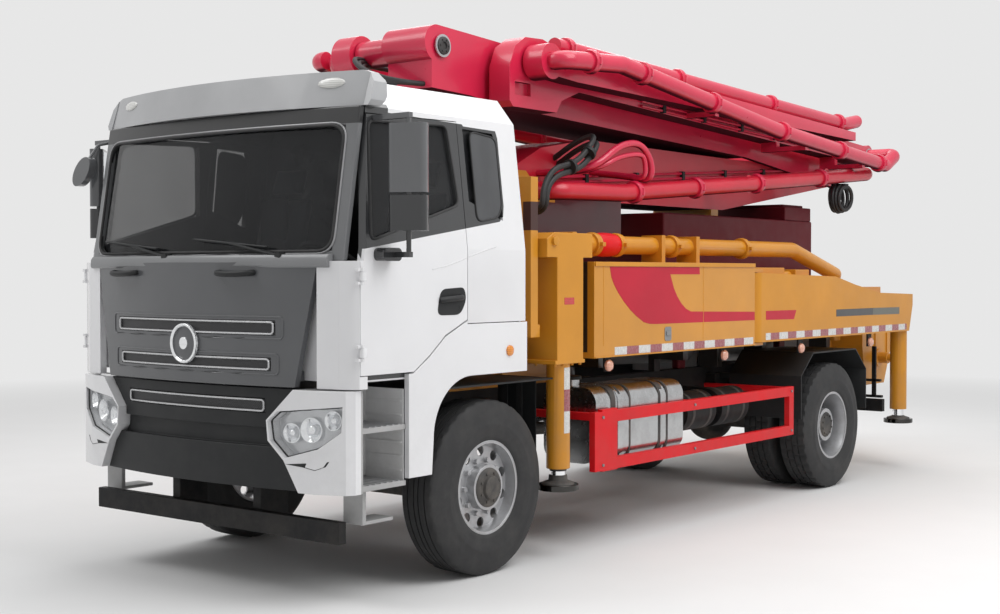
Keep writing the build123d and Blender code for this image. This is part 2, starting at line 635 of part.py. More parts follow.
# Doors: the wall's own section cut to the door outline, with the window cut out.
MIRROR_X = CAB_HALF + 170
MIRROR_STATION = -990
MIRROR_HALF = 110
MIRROR_DEPTH = 90
MIRROR_TURN = {"left": 25, "right": 45}  # degrees that each head is turned to the driver
MIRROR_HEADS = ((2090, 2285), (2300, 2680))  # low and high end of the two heads
MIRROR_ARM_Z = (2710, 2740)
MIRROR_FOOT_Z = (1925, 1998)
KERB_MIRROR = (-1290, -1175, 2520)  # X, station, height of the oval mirror ahead of the right door
for name, side in SIDES:
    with BuildPart() as door:
        front_profile(sided(cab_band(0, CAB_WALL), side), (SEAM_FRONT, SEAM_REAR))
        side_profile(widened(DOOR, -SEAM), (side * DOOR_WALL_IN, side * (CAB_HALF + 1)), mode=Mode.INTERSECT)
        side_profile(WINDOW, (side * (DOOR_WALL_IN - 50), side * (CAB_HALF + 1)), mode=Mode.SUBTRACT)
        cut_front(2 * SEAM)
        for z in DOOR_HINGES_Z:
            block((side * (HINGE_LINE_X - 25), side * HINGE_LINE_X), (SEAM_FRONT, SEAM_FRONT + 40),
                  (z - 25, z + 25))
            post(side * HINGE_LINE_X, SEAM_FRONT, DOOR_PIN_R + 8, (z - 25, z + 25))
            post(side * HINGE_LINE_X, SEAM_FRONT, DOOR_PIN_R + FIT, (z - 30, z + 30), mode=Mode.SUBTRACT)
    save(door, f"door_{name}")

    with BuildPart() as door_glass:
        front_profile(sided(cab_band(18, GLASS), side), (SEAM_FRONT, SEAM_REAR))
        side_profile(WINDOW, (side * DOOR_WALL_IN, side * CAB_HALF), mode=Mode.INTERSECT)
        cut_front(2 * SEAM)
    save(door_glass, f"door_glass_{name}")

    # Mirror: a foot and an arm from the door, a pole between them and two heads on it.
    with BuildPart() as mirror:
        for low, high in MIRROR_HEADS:
            with BuildSketch(Plane.XY.offset(low)) as head:
                with Locations(Location((side * MIRROR_X, st(MIRROR_STATION), 0), side * MIRROR_TURN[name])):
                    RectangleRounded(2 * MIRROR_HALF, MIRROR_DEPTH, 35)
            extrude(head.sketch, amount=high - low)
        post(side * MIRROR_X, MIRROR_STATION, 14, (MIRROR_FOOT_Z[0] + 30, MIRROR_ARM_Z[1]))
        low, high = (
            CAB_HALF - CAB_LEAN * (z - CAB_BELT_Z) / (CAB_EAVE_Z - CAB_BELT_Z) for z in MIRROR_ARM_Z
        )
        front_profile(
            [(side * low, MIRROR_ARM_Z[0]), (side * (MIRROR_X + 16), MIRROR_ARM_Z[0]),
             (side * (MIRROR_X + 16), MIRROR_ARM_Z[1]), (side * high, MIRROR_ARM_Z[1])],
            (MIRROR_STATION - 16, MIRROR_STATION + 16),
        )
        foot = (side * CAB_HALF, side * (CAB_HALF + 75))
        with BuildSketch(Plane.YZ.offset(min(foot))) as outline:
            with Locations((st(MIRROR_STATION - 25), sum(MIRROR_FOOT_Z) / 2)):
                RectangleRounded(150, MIRROR_FOOT_Z[1] - MIRROR_FOOT_Z[0], 30)
        extrude(outline.sketch, amount=abs(foot[1] - foot[0]))
        block((side * (CAB_HALF + 70), side * (MIRROR_X + 16)), (MIRROR_STATION - 16, MIRROR_STATION + 16),
              (MIRROR_FOOT_Z[0] + 20, MIRROR_FOOT_Z[0] + 50))
        if name == "right":
            x, s, z = KERB_MIRROR
            with BuildSketch(Plane.XZ.offset(-st(s + 25))) as oval:
                with Locations((x, z)):
                    Ellipse(115, 64, rotation=45)
            extrude(oval.sketch, amount=50)
            pipe([(x + 135, MIRROR_STATION, MIRROR_ARM_Z[0] + 15), (x + 70, s + 60, MIRROR_ARM_Z[0] - 15),
                  (x + 30, s, z + 60)], 10, 40)
    save(mirror, f"mirror_{name}")

STEP_FRONT = -1170
STEP_REAR = -800
BUMPER_TOP = 1212
BUMPER_BOTTOM = 640
BUMPER_HALF = 1200
LOWER_SLOT = (1110, 610, 80)  # z of the middle, half width, height
# Inner edge of the white corner panel and outline of the lamp in it, as (X, height).
CORNER_EDGE = ((850, BUMPER_TOP), (665, 1035), (676, 920), (785, 815), (885, BUMPER_BOTTOM))
LAMP = ((680, 1032), (745, 1084), (1148, 1124), (1140, 985), (1010, 892), (795, 833), (695, 925))
with BuildPart() as bumper:
    front_band(860, -1290, 90, 60, 985, (0, BUMPER_TOP - 985))
    front_band(820, -1270, 75, 60, 880, (0, 106))
    front_band(1130, -1235, 150, 70, BUMPER_BOTTOM, (0, 241))
    block((-LOWER_SLOT[1], LOWER_SLOT[1]), (-1440, -1200),
          (LOWER_SLOT[0] - LOWER_SLOT[2] / 2, LOWER_SLOT[0] + LOWER_SLOT[2] / 2), mode=Mode.SUBTRACT)
    for side in (1, -1):
        block((side * (RAIL_X - RAIL_WIDTH), side * RAIL_X), (-1310, RAIL_FRONT),
              (RAIL_TOP - RAIL_DEPTH, RAIL_TOP - RAIL_DEPTH + 90))
        # The bumper ends an open seam short of the white corner panels.
        front_profile(
            [(side * (CORNER_EDGE[0][0] + 2), BUMPER_TOP + 4)]
            + [(side * (x - GAP), z) for x, z in CORNER_EDGE]
            + [(side * (CORNER_EDGE[-1][0] + 6), BUMPER_BOTTOM - 20), (side * 1300, BUMPER_BOTTOM - 20),
               (side * 1300, BUMPER_TOP + 4)],
            (-1500, -1100),
            mode=Mode.SUBTRACT,
        )
    front_band(LOWER_SLOT[1] + 5, -1322, 38, 14, LOWER_SLOT[0] - LOWER_SLOT[2] / 2 - 1,
               (0, LOWER_SLOT[2] + 2))
save(bumper, "bumper")

with BuildPart() as headlamps:
    for side in (1, -1):
        with BuildPart() as lens:
            with BuildSketch(Plane.XY.offset(BUMPER_BOTTOM)) as plan:
                with BuildLine():
                    Polyline(
                        (side * CORNER_EDGE[1][0], st(-1352)),
                        (side * 1000, st(-1305)),
                        (side * 1155, st(-1245)),
                        (side * 1155, st(STEP_FRONT - 9)),
                        (side * CORNER_EDGE[1][0], st(STEP_FRONT - 9)),
                        close=True,
                    )
                make_face()
            extrude(plan.sketch, amount=BUMPER_TOP - BUMPER_BOTTOM)
            front_profile(sided(LAMP, side), (-1500, STEP_FRONT), mode=Mode.INTERSECT)
        add(lens.part)
save(headlamps, "headlamps")

# Lower white panels: front corners around the lamps, and the fenders over the wheels.
ARCH_R = 350
ARCH_TOP = 1245
ARCH_FRONT = -585
FENDER_TOP = 1555
FENDER_REAR = 310
FENDER_BOTTOM = 690
STEP_TOP = HOOD_BOTTOM_Z - GAP
with BuildPart() as lower_panels:
    for side in (1, -1):
        with BuildPart() as corner_panel:
            with BuildSketch(Plane.XY.offset(BUMPER_BOTTOM)) as corner:
                with BuildLine():
                    Polyline(
                        (side * (CORNER_EDGE[1][0] - 1), st(-1384)),
                        (side * 1000, st(-1330)),
                        (side * 1170, st(-1262)),
                        (side * BUMPER_HALF, st(-1215)),
                        (side * BUMPER_HALF, st(STEP_FRONT)),
                        (side * (CORNER_EDGE[1][0] - 1), st(STEP_FRONT)),
                        close=True,
                    )
                make_face()
            extrude(corner.sketch, amount=BUMPER_TOP - BUMPER_BOTTOM)
            front_profile(
                sided(CORNER_EDGE + ((BUMPER_HALF, BUMPER_BOTTOM), (BUMPER_HALF, BUMPER_TOP)), side),
                (-1500, -1100),
                mode=Mode.INTERSECT,
            )
            front_profile(sided(widened(LAMP, 3), side), (-1500, STEP_FRONT - 9), mode=Mode.SUBTRACT)
        add(corner_panel.part)
        # Fender: side sheet and a flat return over the wheel.
        panel = (side * (CAB_HALF - CAB_WALL + 8), side * (CAB_HALF - 1))
        with BuildSketch(Plane.YZ.offset(min(panel))) as sheet:
            with BuildLine():
                Polyline(
                    (st(STEP_REAR), FENDER_BOTTOM),
                    (st(STEP_REAR), 1286),
                    (st(-760), 1286),
                    (st(-615), 1376),
                    (st(-475), 1486),
                    (st(SEAM_REAR), 1574),
                    (st(SEAM_REAR), FENDER_TOP),
                    (st(FENDER_REAR), FENDER_TOP),
                    (st(FENDER_REAR), ARCH_TOP),
                    (st(ARCH_FRONT + ARCH_R), ARCH_TOP),
                )
                RadiusArc(
                    (st(ARCH_FRONT + ARCH_R), ARCH_TOP), (st(ARCH_FRONT), ARCH_TOP - ARCH_R), -ARCH_R
                )
                Polyline(
                    (st(ARCH_FRONT), ARCH_TOP - ARCH_R), (st(ARCH_FRONT - 15), FENDER_BOTTOM),
                    (st(STEP_REAR), FENDER_BOTTOM),
                )
            make_face()
        extrude(sheet.sketch, amount=abs(panel[1] - panel[0]))
save(lower_panels, "lower_panels")

with BuildPart() as cab_steps:
    for side in (1, -1):
        for z in (680, 1000):
            block((side * 880, side * 1195), (STEP_FRONT, STEP_REAR), (z - 30, z))
        block((side * 870, side * 885), (STEP_FRONT, STEP_REAR), (640, STEP_TOP))
        block((side * 880, side * 1195), (STEP_FRONT, STEP_FRONT + 20), (640, STEP_TOP))
        block((side * 1000, side * 1150), (STEP_FRONT + 60, STEP_FRONT + 90), (470, 660))
        block((side * 1000, side * 1150), (STEP_FRONT + 60, STEP_REAR - 60), (455, 475))
        block((side * RAIL_X, side * 872), (RAIL_FRONT, RAIL_FRONT + 60), (820, 900))
save(cab_steps, "cab_steps")

LINER_X = (560, 1180)
FLAP_STATION = 638
FLAP_X = (720, 1040)
with BuildPart() as mudguards:
    for side in (1, -1):
        span = (side * LINER_X[0], side * LINER_X[1])
        block(span, (-640, FLAP_STATION), (1170, 1182))
        block(span, (-652, -640), (720, 1182))
        block((side * FLAP_X[0], side * FLAP_X[1]), (FLAP_STATION, FLAP_STATION + 8), (320, 1182))
        for s in (WHEELBASE - 640, WHEELBASE + 640):
            block((side * 560, side * 1240), (s - 6, s + 6), (640, 1000))
        side_profile(
            [(WHEELBASE - 646, 1000), (WHEELBASE - 420, 1190), (WHEELBASE + 420, 1190),
             (WHEELBASE + 646, 1000), (WHEELBASE + 634, 1000), (WHEELBASE + 416, 1178),
             (WHEELBASE - 416, 1178), (WHEELBASE - 634, 1000)],
            (side * 560, side * 1240),
        )
        # Brackets out from the frame rail: front station, rear station, outer end.
        for front, rear, end in (
            (-652, -612, 600),
            (FLAP_STATION, FLAP_STATION + 30, FLAP_X[0] + 20),
            (WHEELBASE - 646, WHEELBASE - 606, 600),
            (WHEELBASE + 606, WHEELBASE + 646, 600),
        ):
            block((side * RAIL_X, side * end), (front, rear), (960, 1000))
save(mudguards, "mudguards")

UNDERRUN_HALF = 1084
UNDERRUN_Z = (354, 479)
REAR_BAR_STATION = WHEELBASE + 1600
REAR_BAR_HALF = 980
with BuildPart() as underrun_bars:
    block((-UNDERRUN_HALF, UNDERRUN_HALF), (-1230, -1170), UNDERRUN_Z)
    block((-REAR_BAR_HALF, REAR_BAR_HALF), (REAR_BAR_STATION, REAR_BAR_STATION + 60), (520, 640))
    for side in (1, -1):
        block((side * 330, side * 400), (-1180, -960), (400, 700))
        block((side * (RAIL_X - 60), side * RAIL_X), (-1000, -960), (600, RAIL_TOP - RAIL_DEPTH))
        rail = (side * (RAIL_X - RAIL_WIDTH), side * RAIL_X)
        block(rail, (REAR_BAR_STATION - 20, REAR_BAR_STATION + 40), (600, 1040))
        block(rail, (RAIL_REAR, REAR_BAR_STATION), (820, 1040))
save(underrun_bars, "underrun_bars")

with BuildPart() as dashboard:
    side_profile([(-1180, 1310), (-1180, 1880), (-1080, 1900), (-930, 1850), (-880, 1760), (-1000, 1310)],
                 (-1120, 1120))
    block((-TUNNEL_HALF - 2, TUNNEL_HALF + 2), (-1181, -860), (1300, TUNNEL_TOP + 2), mode=Mode.SUBTRACT)
    rod_low = (560, -930, 1780)
    pipe([rod_low, (560, -760, 1900)], 25, 0)
    with BuildSketch(Plane(origin=(560, st(-760), 1900), x_dir=(1, 0, 0), z_dir=(0, 0.58, 0.82))) as wheel:
        Circle(225)
        Circle(195, mode=Mode.SUBTRACT)
        Rectangle(400, 40)
        Rectangle(40, 400)
    extrude(wheel.sketch, amount=26)
save(dashboard, "dashboard")

SEAT_X = 600
SEAT_HALF = 255
with BuildPart() as seats:
    for side in (1, -1):
        span = (side * (SEAT_X - SEAT_HALF), side * (SEAT_X + SEAT_HALF))
        narrow = (side * (SEAT_X - 150), side * (SEAT_X + 150))
        low = CAB_FLOOR_Z + CAB_WALL
        block((side * (TUNNEL_HALF + 10), side * (SEAT_X + 190)), (-560, -180), (low, 1620))
        block((side * (TUNNEL_HALF - 40), side * (SEAT_X + 250)), (-640, -130), (1620, 1760))
        side_profile([(-190, 1760), (-130, 1700), (20, 2380), (-60, 2400)], span)
        side_profile([(-45, 2400), (15, 2380), (60, 2560), (-10, 2580)], narrow)
save(seats, "seats")

# ---- tanks and guards under the deck -----------------------------------------------------
FUEL_X = (740, 1180)
FUEL_STATION = (1130, 2260)
FUEL_Z = (560, 1080)
with BuildPart() as fuel_tank:
    with BuildSketch(Plane.XZ.offset(-st(FUEL_STATION[1]))) as outline:
        with Locations((sum(FUEL_X) / 2, sum(FUEL_Z) / 2)):
            RectangleRounded(FUEL_X[1] - FUEL_X[0], FUEL_Z[1] - FUEL_Z[0], 110)
    extrude(outline.sketch, amount=FUEL_STATION[1] - FUEL_STATION[0])
    for s in (1420, 1970):
        with BuildSketch(Plane.XZ.offset(-st(s + 30))) as strap:
            with Locations((sum(FUEL_X) / 2, sum(FUEL_Z) / 2)):
                RectangleRounded(FUEL_X[1] - FUEL_X[0] + 12, FUEL_Z[1] - FUEL_Z[0] + 12, 116)
        extrude(strap.sketch, amount=60)
        block((RAIL_X, FUEL_X[0] + 20), (s - 40, s + 40), (800, 900))
    post(900, 1250, 50, (FUEL_Z[1] - 5, FUEL_Z[1] + 45))
save(fuel_tank, "fuel_tank")

with BuildPart() as air_tanks:
    for side in (1, -1):
        for s in (2480, 3000):
            with BuildSketch(Plane.XZ.offset(-st(s + 430))) as tank:
                with Locations((side * 940, 800)):
                    Circle(150)
            extrude(tank.sketch, amount=430)
            block((side * RAIL_X, side * 860), (s + 180, s + 250), (880, 940))
    for s0, s1 in ((1130, 1700), (1800, 2260)):
        block((-1150, -600), (s0, s1), (600, 1060))
        block((-601, -RAIL_X), (s0 + 200, s0 + 300), (800, 900))
save(air_tanks, "air_tanks")

GUARD_X = (1195, 1240)
GUARD_STATION = (1030, WHEELBASE - 780)
GUARD_Z = (527, 926)
GUARD_BAR = 78
with BuildPart() as side_guards:
    for side in (1, -1):
        span = (side * GUARD_X[0], side * GUARD_X[1])
        block(span, GUARD_STATION, (GUARD_Z[1] - GUARD_BAR, GUARD_Z[1]))
        block(span, GUARD_STATION, (GUARD_Z[0], GUARD_Z[0] + GUARD_BAR))
        block(span, (GUARD_STATION[0], GUARD_STATION[0] + 190), GUARD_Z)
        block(span, (GUARD_STATION[1] - GUARD_BAR, GUARD_STATION[1]), GUARD_Z)
        for s in (GUARD_STATION[0] + 30, sum(GUARD_STATION) / 2 - 145, GUARD_STATION[1] - 40):
            block((side * RAIL_X, side * (GUARD_X[0] + 1)), (s - 25, s + 25), (870, 920))
save(side_guards, "side_guards")

# ---- upper structure ---------------------------------------------------------------------
SLEW_STATION = 1300
RING_Z = 2150
RING_R = 430
BEAM_FRONT = {"left": (505, 705), "right": (745, 945)}  # stations of the two outrigger beams
BEAM_Z = (1520, 1800)
TUNNEL_WALL = 25
HOUSING_HALF = 980
HOOP_X = (1110, 1190)
HOOP_STATION = (385, 460)
HOOP_Z = (2360, 2470)
with BuildPart() as pedestal:
    block((-HOUSING_HALF, HOUSING_HALF), (480, 970), (BEAM_Z[0] - 70, BEAM_Z[1] + 70))
    for stations in BEAM_FRONT.values():
        block((-HOUSING_HALF - 1, HOUSING_HALF + 1), (stations[0] - GAP, stations[1] + GAP),
              (BEAM_Z[0], BEAM_Z[1] + GAP), mode=Mode.SUBTRACT)
    block((-500, 500), (970, 1640), (1130, 1960))
    block((-RAIL_X, RAIL_X), (480, 1640), (RAIL_TOP, 1131))
    block((-RAIL_X, RAIL_X), (480, 971), (1130, BEAM_Z[0] - 69))
    post(0, SLEW_STATION, RING_R - 60, (1900, RING_Z - 60))
    post(0, SLEW_STATION, RING_R, (RING_Z - 60, RING_Z))
    # Hoop across the vehicle behind the cab, its posts footed on the housing's front face.
    block((-HOOP_X[1], HOOP_X[1]), HOOP_STATION, HOOP_Z)
    for side in (1, -1):
        block((side * HOOP_X[0], side * HOOP_X[1]), HOOP_STATION, (BEAM_Z[0] - 70, HOOP_Z[0] + 1))
        block((side * (HOUSING_HALF - 130), side * HOOP_X[1]), (HOOP_STATION[0], 481),
              (BEAM_Z[0] - 70, BEAM_Z[0] + 10))
save(pedestal, "pedestal")

DECK_Z = (1290, 1935)
DECK_X = (640, HALF_WIDTH)
HINGE_STATION = WHEELBASE - 1340
DECK_STATION = (1005, HINGE_STATION - 135)
REST_STATION = WHEELBASE - 450
REAR_DECK_Z = 1730
TANK_Z = (1500, 2350)
BOOM_UNDER_Z = 2420  # underside of the first boom section where it lies on its rest
ARM_Z = (1310, 1860)
ARM_X = (1045, 1245)
HINGE_X = 1145
with BuildPart() as deck:
    for side in (1, -1):
        block((side * DECK_X[0], side * DECK_X[1]), DECK_STATION, DECK_Z)
        block((side * 500, side * (DECK_X[0] + 1)), (1010, 1630), (1500, 1800))
        # Rear deck behind the swing arms' hinges.
        block((side * 520, side * 1030), (HINGE_STATION - 70, WHEELBASE + 1430), (1290, REAR_DECK_Z))
        block((side * 700, side * 1000), (DECK_STATION[1] - 5, HINGE_STATION - 65), (1330, REAR_DECK_Z - 20))
        for s in (WHEELBASE - 800, WHEELBASE, WHEELBASE + 1300):
            block((side * (RAIL_X - 60), side * 555), (s - 40, s + 40), (RAIL_TOP, 1300))
        # Lugs and pin that each swing arm turns on.
        lug = (side * 1000, side * (HINGE_X + 70))
        block(lug, (HINGE_STATION - 70, HINGE_STATION + 70), (ARM_Z[0] - 30, ARM_Z[0] - GAP))
        block(lug, (HINGE_STATION - 70, HINGE_STATION + 70), (ARM_Z[1] + GAP, ARM_Z[1] + 30))
        block((side * 1000, side * 1030), (HINGE_STATION - 70, HINGE_STATION + 70), (1500, ARM_Z[1] + 30))
        post(side * HINGE_X, HINGE_STATION, 45, (ARM_Z[0] - 20, ARM_Z[1] + 20))
        for s in (1900, DECK_STATION[1] - 125):
            block((side * (RAIL_X - 60), side * 700), (s - 40, s + 40), (RAIL_TOP + 100, 1340))
            block((side * (RAIL_X - 60), side * RAIL_X), (s - 40, s + 40), (RAIL_TOP, 1340))
    # Rest that the boom lies on, standing on the tank.
    block((-300, 300), (REST_STATION - 60, REST_STATION + 60), (TANK_Z[1], BOOM_UNDER_Z - 0.3))
save(deck, "deck")

TANK_STATION = (3080, WHEELBASE + 1050)
TANK_HALF = 500
with BuildPart() as water_tank:
    block((-TANK_HALF, TANK_HALF), TANK_STATION, TANK_Z)
    for s in (WHEELBASE - 1200, WHEELBASE + 600):
        for side in (1, -1):
            block((side * (RAIL_X - 75), side * (RAIL_X - 5)), (s - 60, s + 60), (RAIL_TOP, TANK_Z[0] + 1))
save(water_tank, "water_tank")

CYLINDER_R = 130
with BuildPart() as pump_unit:
    for side in (1, -1):
        pipe([(side * 170, 1800, 1280), (side * 170, WHEELBASE + 1625, 1140)], CYLINDER_R, 0)
    block((-330, 330), (WHEELBASE - 800, WHEELBASE - 500), (RAIL_TOP - 60, 1420))
save(pump_unit, "pump_unit")

HOPPER_HALF = 760
HOPPER_STATION = (WHEELBASE + 1630, WHEELBASE + REAR_OVERHANG)
HOPPER_TOP = 1520
HOPPER_BOTTOM = 760
HOPPER_WALL = 12
GRATE_PIN = (HOPPER_STATION[0] + 5, HOPPER_TOP + 45)
GRATE_LUG_X = (640, 680)
with BuildPart() as hopper:
    front, rear = HOPPER_STATION
    outer = [(front + 70, HOPPER_BOTTOM), (front, 1150), (front, HOPPER_TOP), (rear, HOPPER_TOP),
             (rear, 1350), (rear - 280, HOPPER_BOTTOM)]
    side_profile(outer, (-HOPPER_HALF, HOPPER_HALF))
    inside = [(front + 90, HOPPER_BOTTOM + HOPPER_WALL), (front + HOPPER_WALL, 1155),
              (front + HOPPER_WALL, HOPPER_TOP + 1), (rear - HOPPER_WALL, HOPPER_TOP + 1),
              (rear - HOPPER_WALL, 1357), (rear - 292, HOPPER_BOTTOM + HOPPER_WALL)]
    side_profile(inside, (-HOPPER_HALF + HOPPER_WALL, HOPPER_HALF - HOPPER_WALL), mode=Mode.SUBTRACT)
    for side in (1, -1):
        block((side * (RAIL_X - 60), side * RAIL_X), (RAIL_REAR, HOPPER_STATION[0] + 5), (1045, 1300))
        # Lug and pin that the grate turns on.
        lug = (side * GRATE_LUG_X[0], side * GRATE_LUG_X[1])
        block(lug, (HOPPER_STATION[0], HOPPER_STATION[0] + 28), (HOPPER_TOP - 30, GRATE_PIN[1]))
        cross_rod(GRATE_PIN[0], GRATE_PIN[1], 24, lug)
        cross_rod(GRATE_PIN[0], GRATE_PIN[1], 10, (side * (GRATE_LUG_X[0] - 40), side * GRATE_LUG_X[1]))
save(hopper, "hopper")

GRATE_THICK = 30
with BuildPart() as hopper_grate:
    x = HOPPER_HALF - 5
    s0, s1 = HOPPER_STATION[0] + 30, HOPPER_STATION[1]
    block((-x, x), (s0, s1), (HOPPER_TOP, HOPPER_TOP + GRATE_THICK))
    block((-x + 30, x - 30), (s0 + 30, s1 - 30), (HOPPER_TOP - 1, HOPPER_TOP + 40), mode=Mode.SUBTRACT)
    for side in (1, -1):
        eye = (side * (GRATE_LUG_X[0] - 42), side * (GRATE_LUG_X[0] - 2))
        cross_rod(GRATE_PIN[0], GRATE_PIN[1], 22, eye)
        block(eye, (GRATE_PIN[0], s0 + 20), (GRATE_PIN[1] - 20, GRATE_PIN[1] - 5))
        cross_rod(GRATE_PIN[0], GRATE_PIN[1], 10 + FIT, eye, mode=Mode.SUBTRACT)
    for n in range(15):
        bar_x = -x + 90 + n * (2 * x - 180) / 14
        block((bar_x - 6, bar_x + 6), (s0 + 20, s1 - 20), (HOPPER_TOP + 6, HOPPER_TOP + 28))
save(hopper_grate, "hopper_grate")

PIPE_R = 65
DECK_PIPE_X = 920
DECK_PIPE_Z = 2060
with BuildPart() as delivery_pipe:
    pipe([(300, 735, BEAM_Z[1] + 70), (300, 735, DECK_PIPE_Z), (DECK_PIPE_X, 735, DECK_PIPE_Z),
          (DECK_PIPE_X, WHEELBASE - 200, DECK_PIPE_Z), (DECK_PIPE_X, WHEELBASE + 650, 1850),
          (500, WHEELBASE + 1535, 1815), (500, WHEELBASE + 1535, 1200)], PIPE_R, 150)
    for s in (1120, 2260, 2760):
        block((DECK_PIPE_X - 90, DECK_PIPE_X + 90), (s - 25, s + 25), (DECK_Z[1], DECK_PIPE_Z + 80))
save(delivery_pipe, "delivery_pipe")

# ---- outriggers --------------------------------------------------------------------------
LEG_IN = HOUSING_HALF + 20  # inner face of the leg boxes
LEG_X = 1150
LEG_R = 78
LEG_STATION = 735
LEG_BOTTOM = 580
ROD_R = 50
FOOT_R = 135
FOOT_BOTTOM = 440
FOOT_THICK = 40
for name, side in SIDES:
    stations = BEAM_FRONT[name]
    with BuildPart() as beam:
        block((side * -900, side * (LEG_IN + 10)), stations, BEAM_Z)
        block((side * LEG_IN, side * HALF_WIDTH), (590, 880), (1270, 1960))
        side_profile([(480, 1960), (480, 2080), (560, 2120), (985, 2120), (985, 1960)],
                     (side * (LEG_IN + 10), side * HALF_WIDTH))
        block((side * LEG_IN, side * HALF_WIDTH), (570, 900), (1270, 1295))
        post(side * LEG_X, LEG_STATION, LEG_R, (LEG_BOTTOM, 1290))
        post(side * LEG_X, LEG_STATION, ROD_R + FIT, (LEG_BOTTOM - 1, 1900), mode=Mode.SUBTRACT)
    save(beam, f"outrigger_beam_{name}")

    with BuildPart() as jack:
        post(side * LEG_X, LEG_STATION, ROD_R, (FOOT_BOTTOM, 1250))
        post(side * LEG_X, LEG_STATION, FOOT_R, (FOOT_BOTTOM, FOOT_BOTTOM + FOOT_THICK))
    save(jack, f"jack_front_{name}")

REAR_LEG_STATION = WHEELBASE + 1590
REAR_LEG_BOTTOM = 560
REAR_FOOT_BOTTOM = 430
for name, side in SIDES:
    with BuildPart() as arm:
        end = REAR_LEG_STATION + 95
        side_profile([(HINGE_STATION, ARM_Z[0]), (HINGE_STATION, ARM_Z[1]), (WHEELBASE, 1830),
                      (WHEELBASE + 380, 1760), (WHEELBASE + 920, 1680), (end, 1660), (end, 1560),
                      (end - 80, ARM_Z[0])],
                     (side * ARM_X[0], side * ARM_X[1]))
        post(side * HINGE_X, HINGE_STATION, 100, ARM_Z)
        post(side * HINGE_X, HINGE_STATION, 45 + FIT, (ARM_Z[0] - 1, ARM_Z[1] + 1), mode=Mode.SUBTRACT)
        post(side * HINGE_X, REAR_LEG_STATION, LEG_R, (REAR_LEG_BOTTOM, 1320))
        post(side * HINGE_X, REAR_LEG_STATION, ROD_R + FIT, (REAR_LEG_BOTTOM - 1, 1600), mode=Mode.SUBTRACT)
    save(arm, f"outrigger_arm_{name}")

    with BuildPart() as jack:
        post(side * HINGE_X, REAR_LEG_STATION, ROD_R, (REAR_FOOT_BOTTOM, 1250))
        post(side * HINGE_X, REAR_LEG_STATION, FOOT_R, (REAR_FOOT_BOTTOM, REAR_FOOT_BOTTOM + FOOT_THICK))
    save(jack, f"jack_rear_{name}")

# ---- boom ----------------------------------------------------------------------------------
LIFT_PIVOT = (1300, 2440)  # (station, height) of each pivot
CYLINDER_BASE = (1850, 2180)
CYLINDER_EYE = (2850, 2320)
PIVOT_12 = (WHEELBASE + 1860, 2840)
PIVOT_23 = (494, 3386)
PIVOT_34 = (WHEELBASE + 2150, 3040)
PIVOT_45 = (1200, 3330)
PIN_R = 60
SECTION_1_X = (-290, 290)
SECTION_2_X = (-350, 350)
SECTION_3_X = (-550, -370)
SECTION_4_X = (400, 580)
SECTION_5_X = (600, 760)
LOWER_PIPE_X = 720
FAR_PIPE_2_X = -660
FAR_PIPE_3_X = -840
NEAR_PIPE_X = 865
TIP_PIPE_X = 680
PLATE_X = (300, 370)
FORK_STATION = 4750
FORK_X = (295, 350)
NOSE_X = (-45, 350)
NOSE_END = 1150
CRADLE_END = 2600
CRADLE_Z = (2155, 2425)
LUG_X = (40, 75)
EYE_X = (-35, 35)
BARREL_R = 80
CYLINDER_ROD_R = 50


def along(start, end, distance, aside=0):
    """Point so far from start towards end, and so far to the side of that line."""
    run = hypot(end[0] - start[0], end[1] - start[1])
    d = ((end[0] - start[0]) / run, (end[1] - start[1]) / run)
    return (start[0] + d[0] * distance - d[1] * aside, start[1] + d[1] * distance + d[0] * aside)


with BuildPart() as turret:
    post(0, SLEW_STATION, RING_R + 15, (RING_Z + 0.3, RING_Z + 50))
    for side in (1, -1):
        plate = (side * PLATE_X[0], side * PLATE_X[1])
        side_profile([(1010, RING_Z + 30), (1120, 2540), (1190, 2600), (1410, 2600), (1480, 2540),
                      (1640, RING_Z + 30)], plate)
        lug = (side * LUG_X[0], side * LUG_X[1])
        side_profile([(1650, RING_Z + 1), (1650, RING_Z + 80), (1850, 2250), (1910, 2220), (1920, 2160),
                      (1880, 2112), (1740, RING_Z + 1)], lug)
    block((-300, 300), (1600, 1700), (RING_Z + 1, RING_Z + 50))
    # Side plates along the lift cylinder, tied to each other below it.
    for side in (1, -1):
        block((side * (PLATE_X[1] - 5), side * (PLATE_X[1] + 35)), (1500, CRADLE_END), CRADLE_Z)
    block((-PLATE_X[1] - 35, PLATE_X[1] + 35), (CRADLE_END - 40, CRADLE_END), (CRADLE_Z[0], CRADLE_Z[0] + 37))
    cross_rod(*LIFT_PIVOT, PIN_R, (-PLATE_X[1], PLATE_X[1]))
    cross_rod(*CYLINDER_BASE, 35, (-LUG_X[1], LUG_X[1]))
save(turret, "turret")

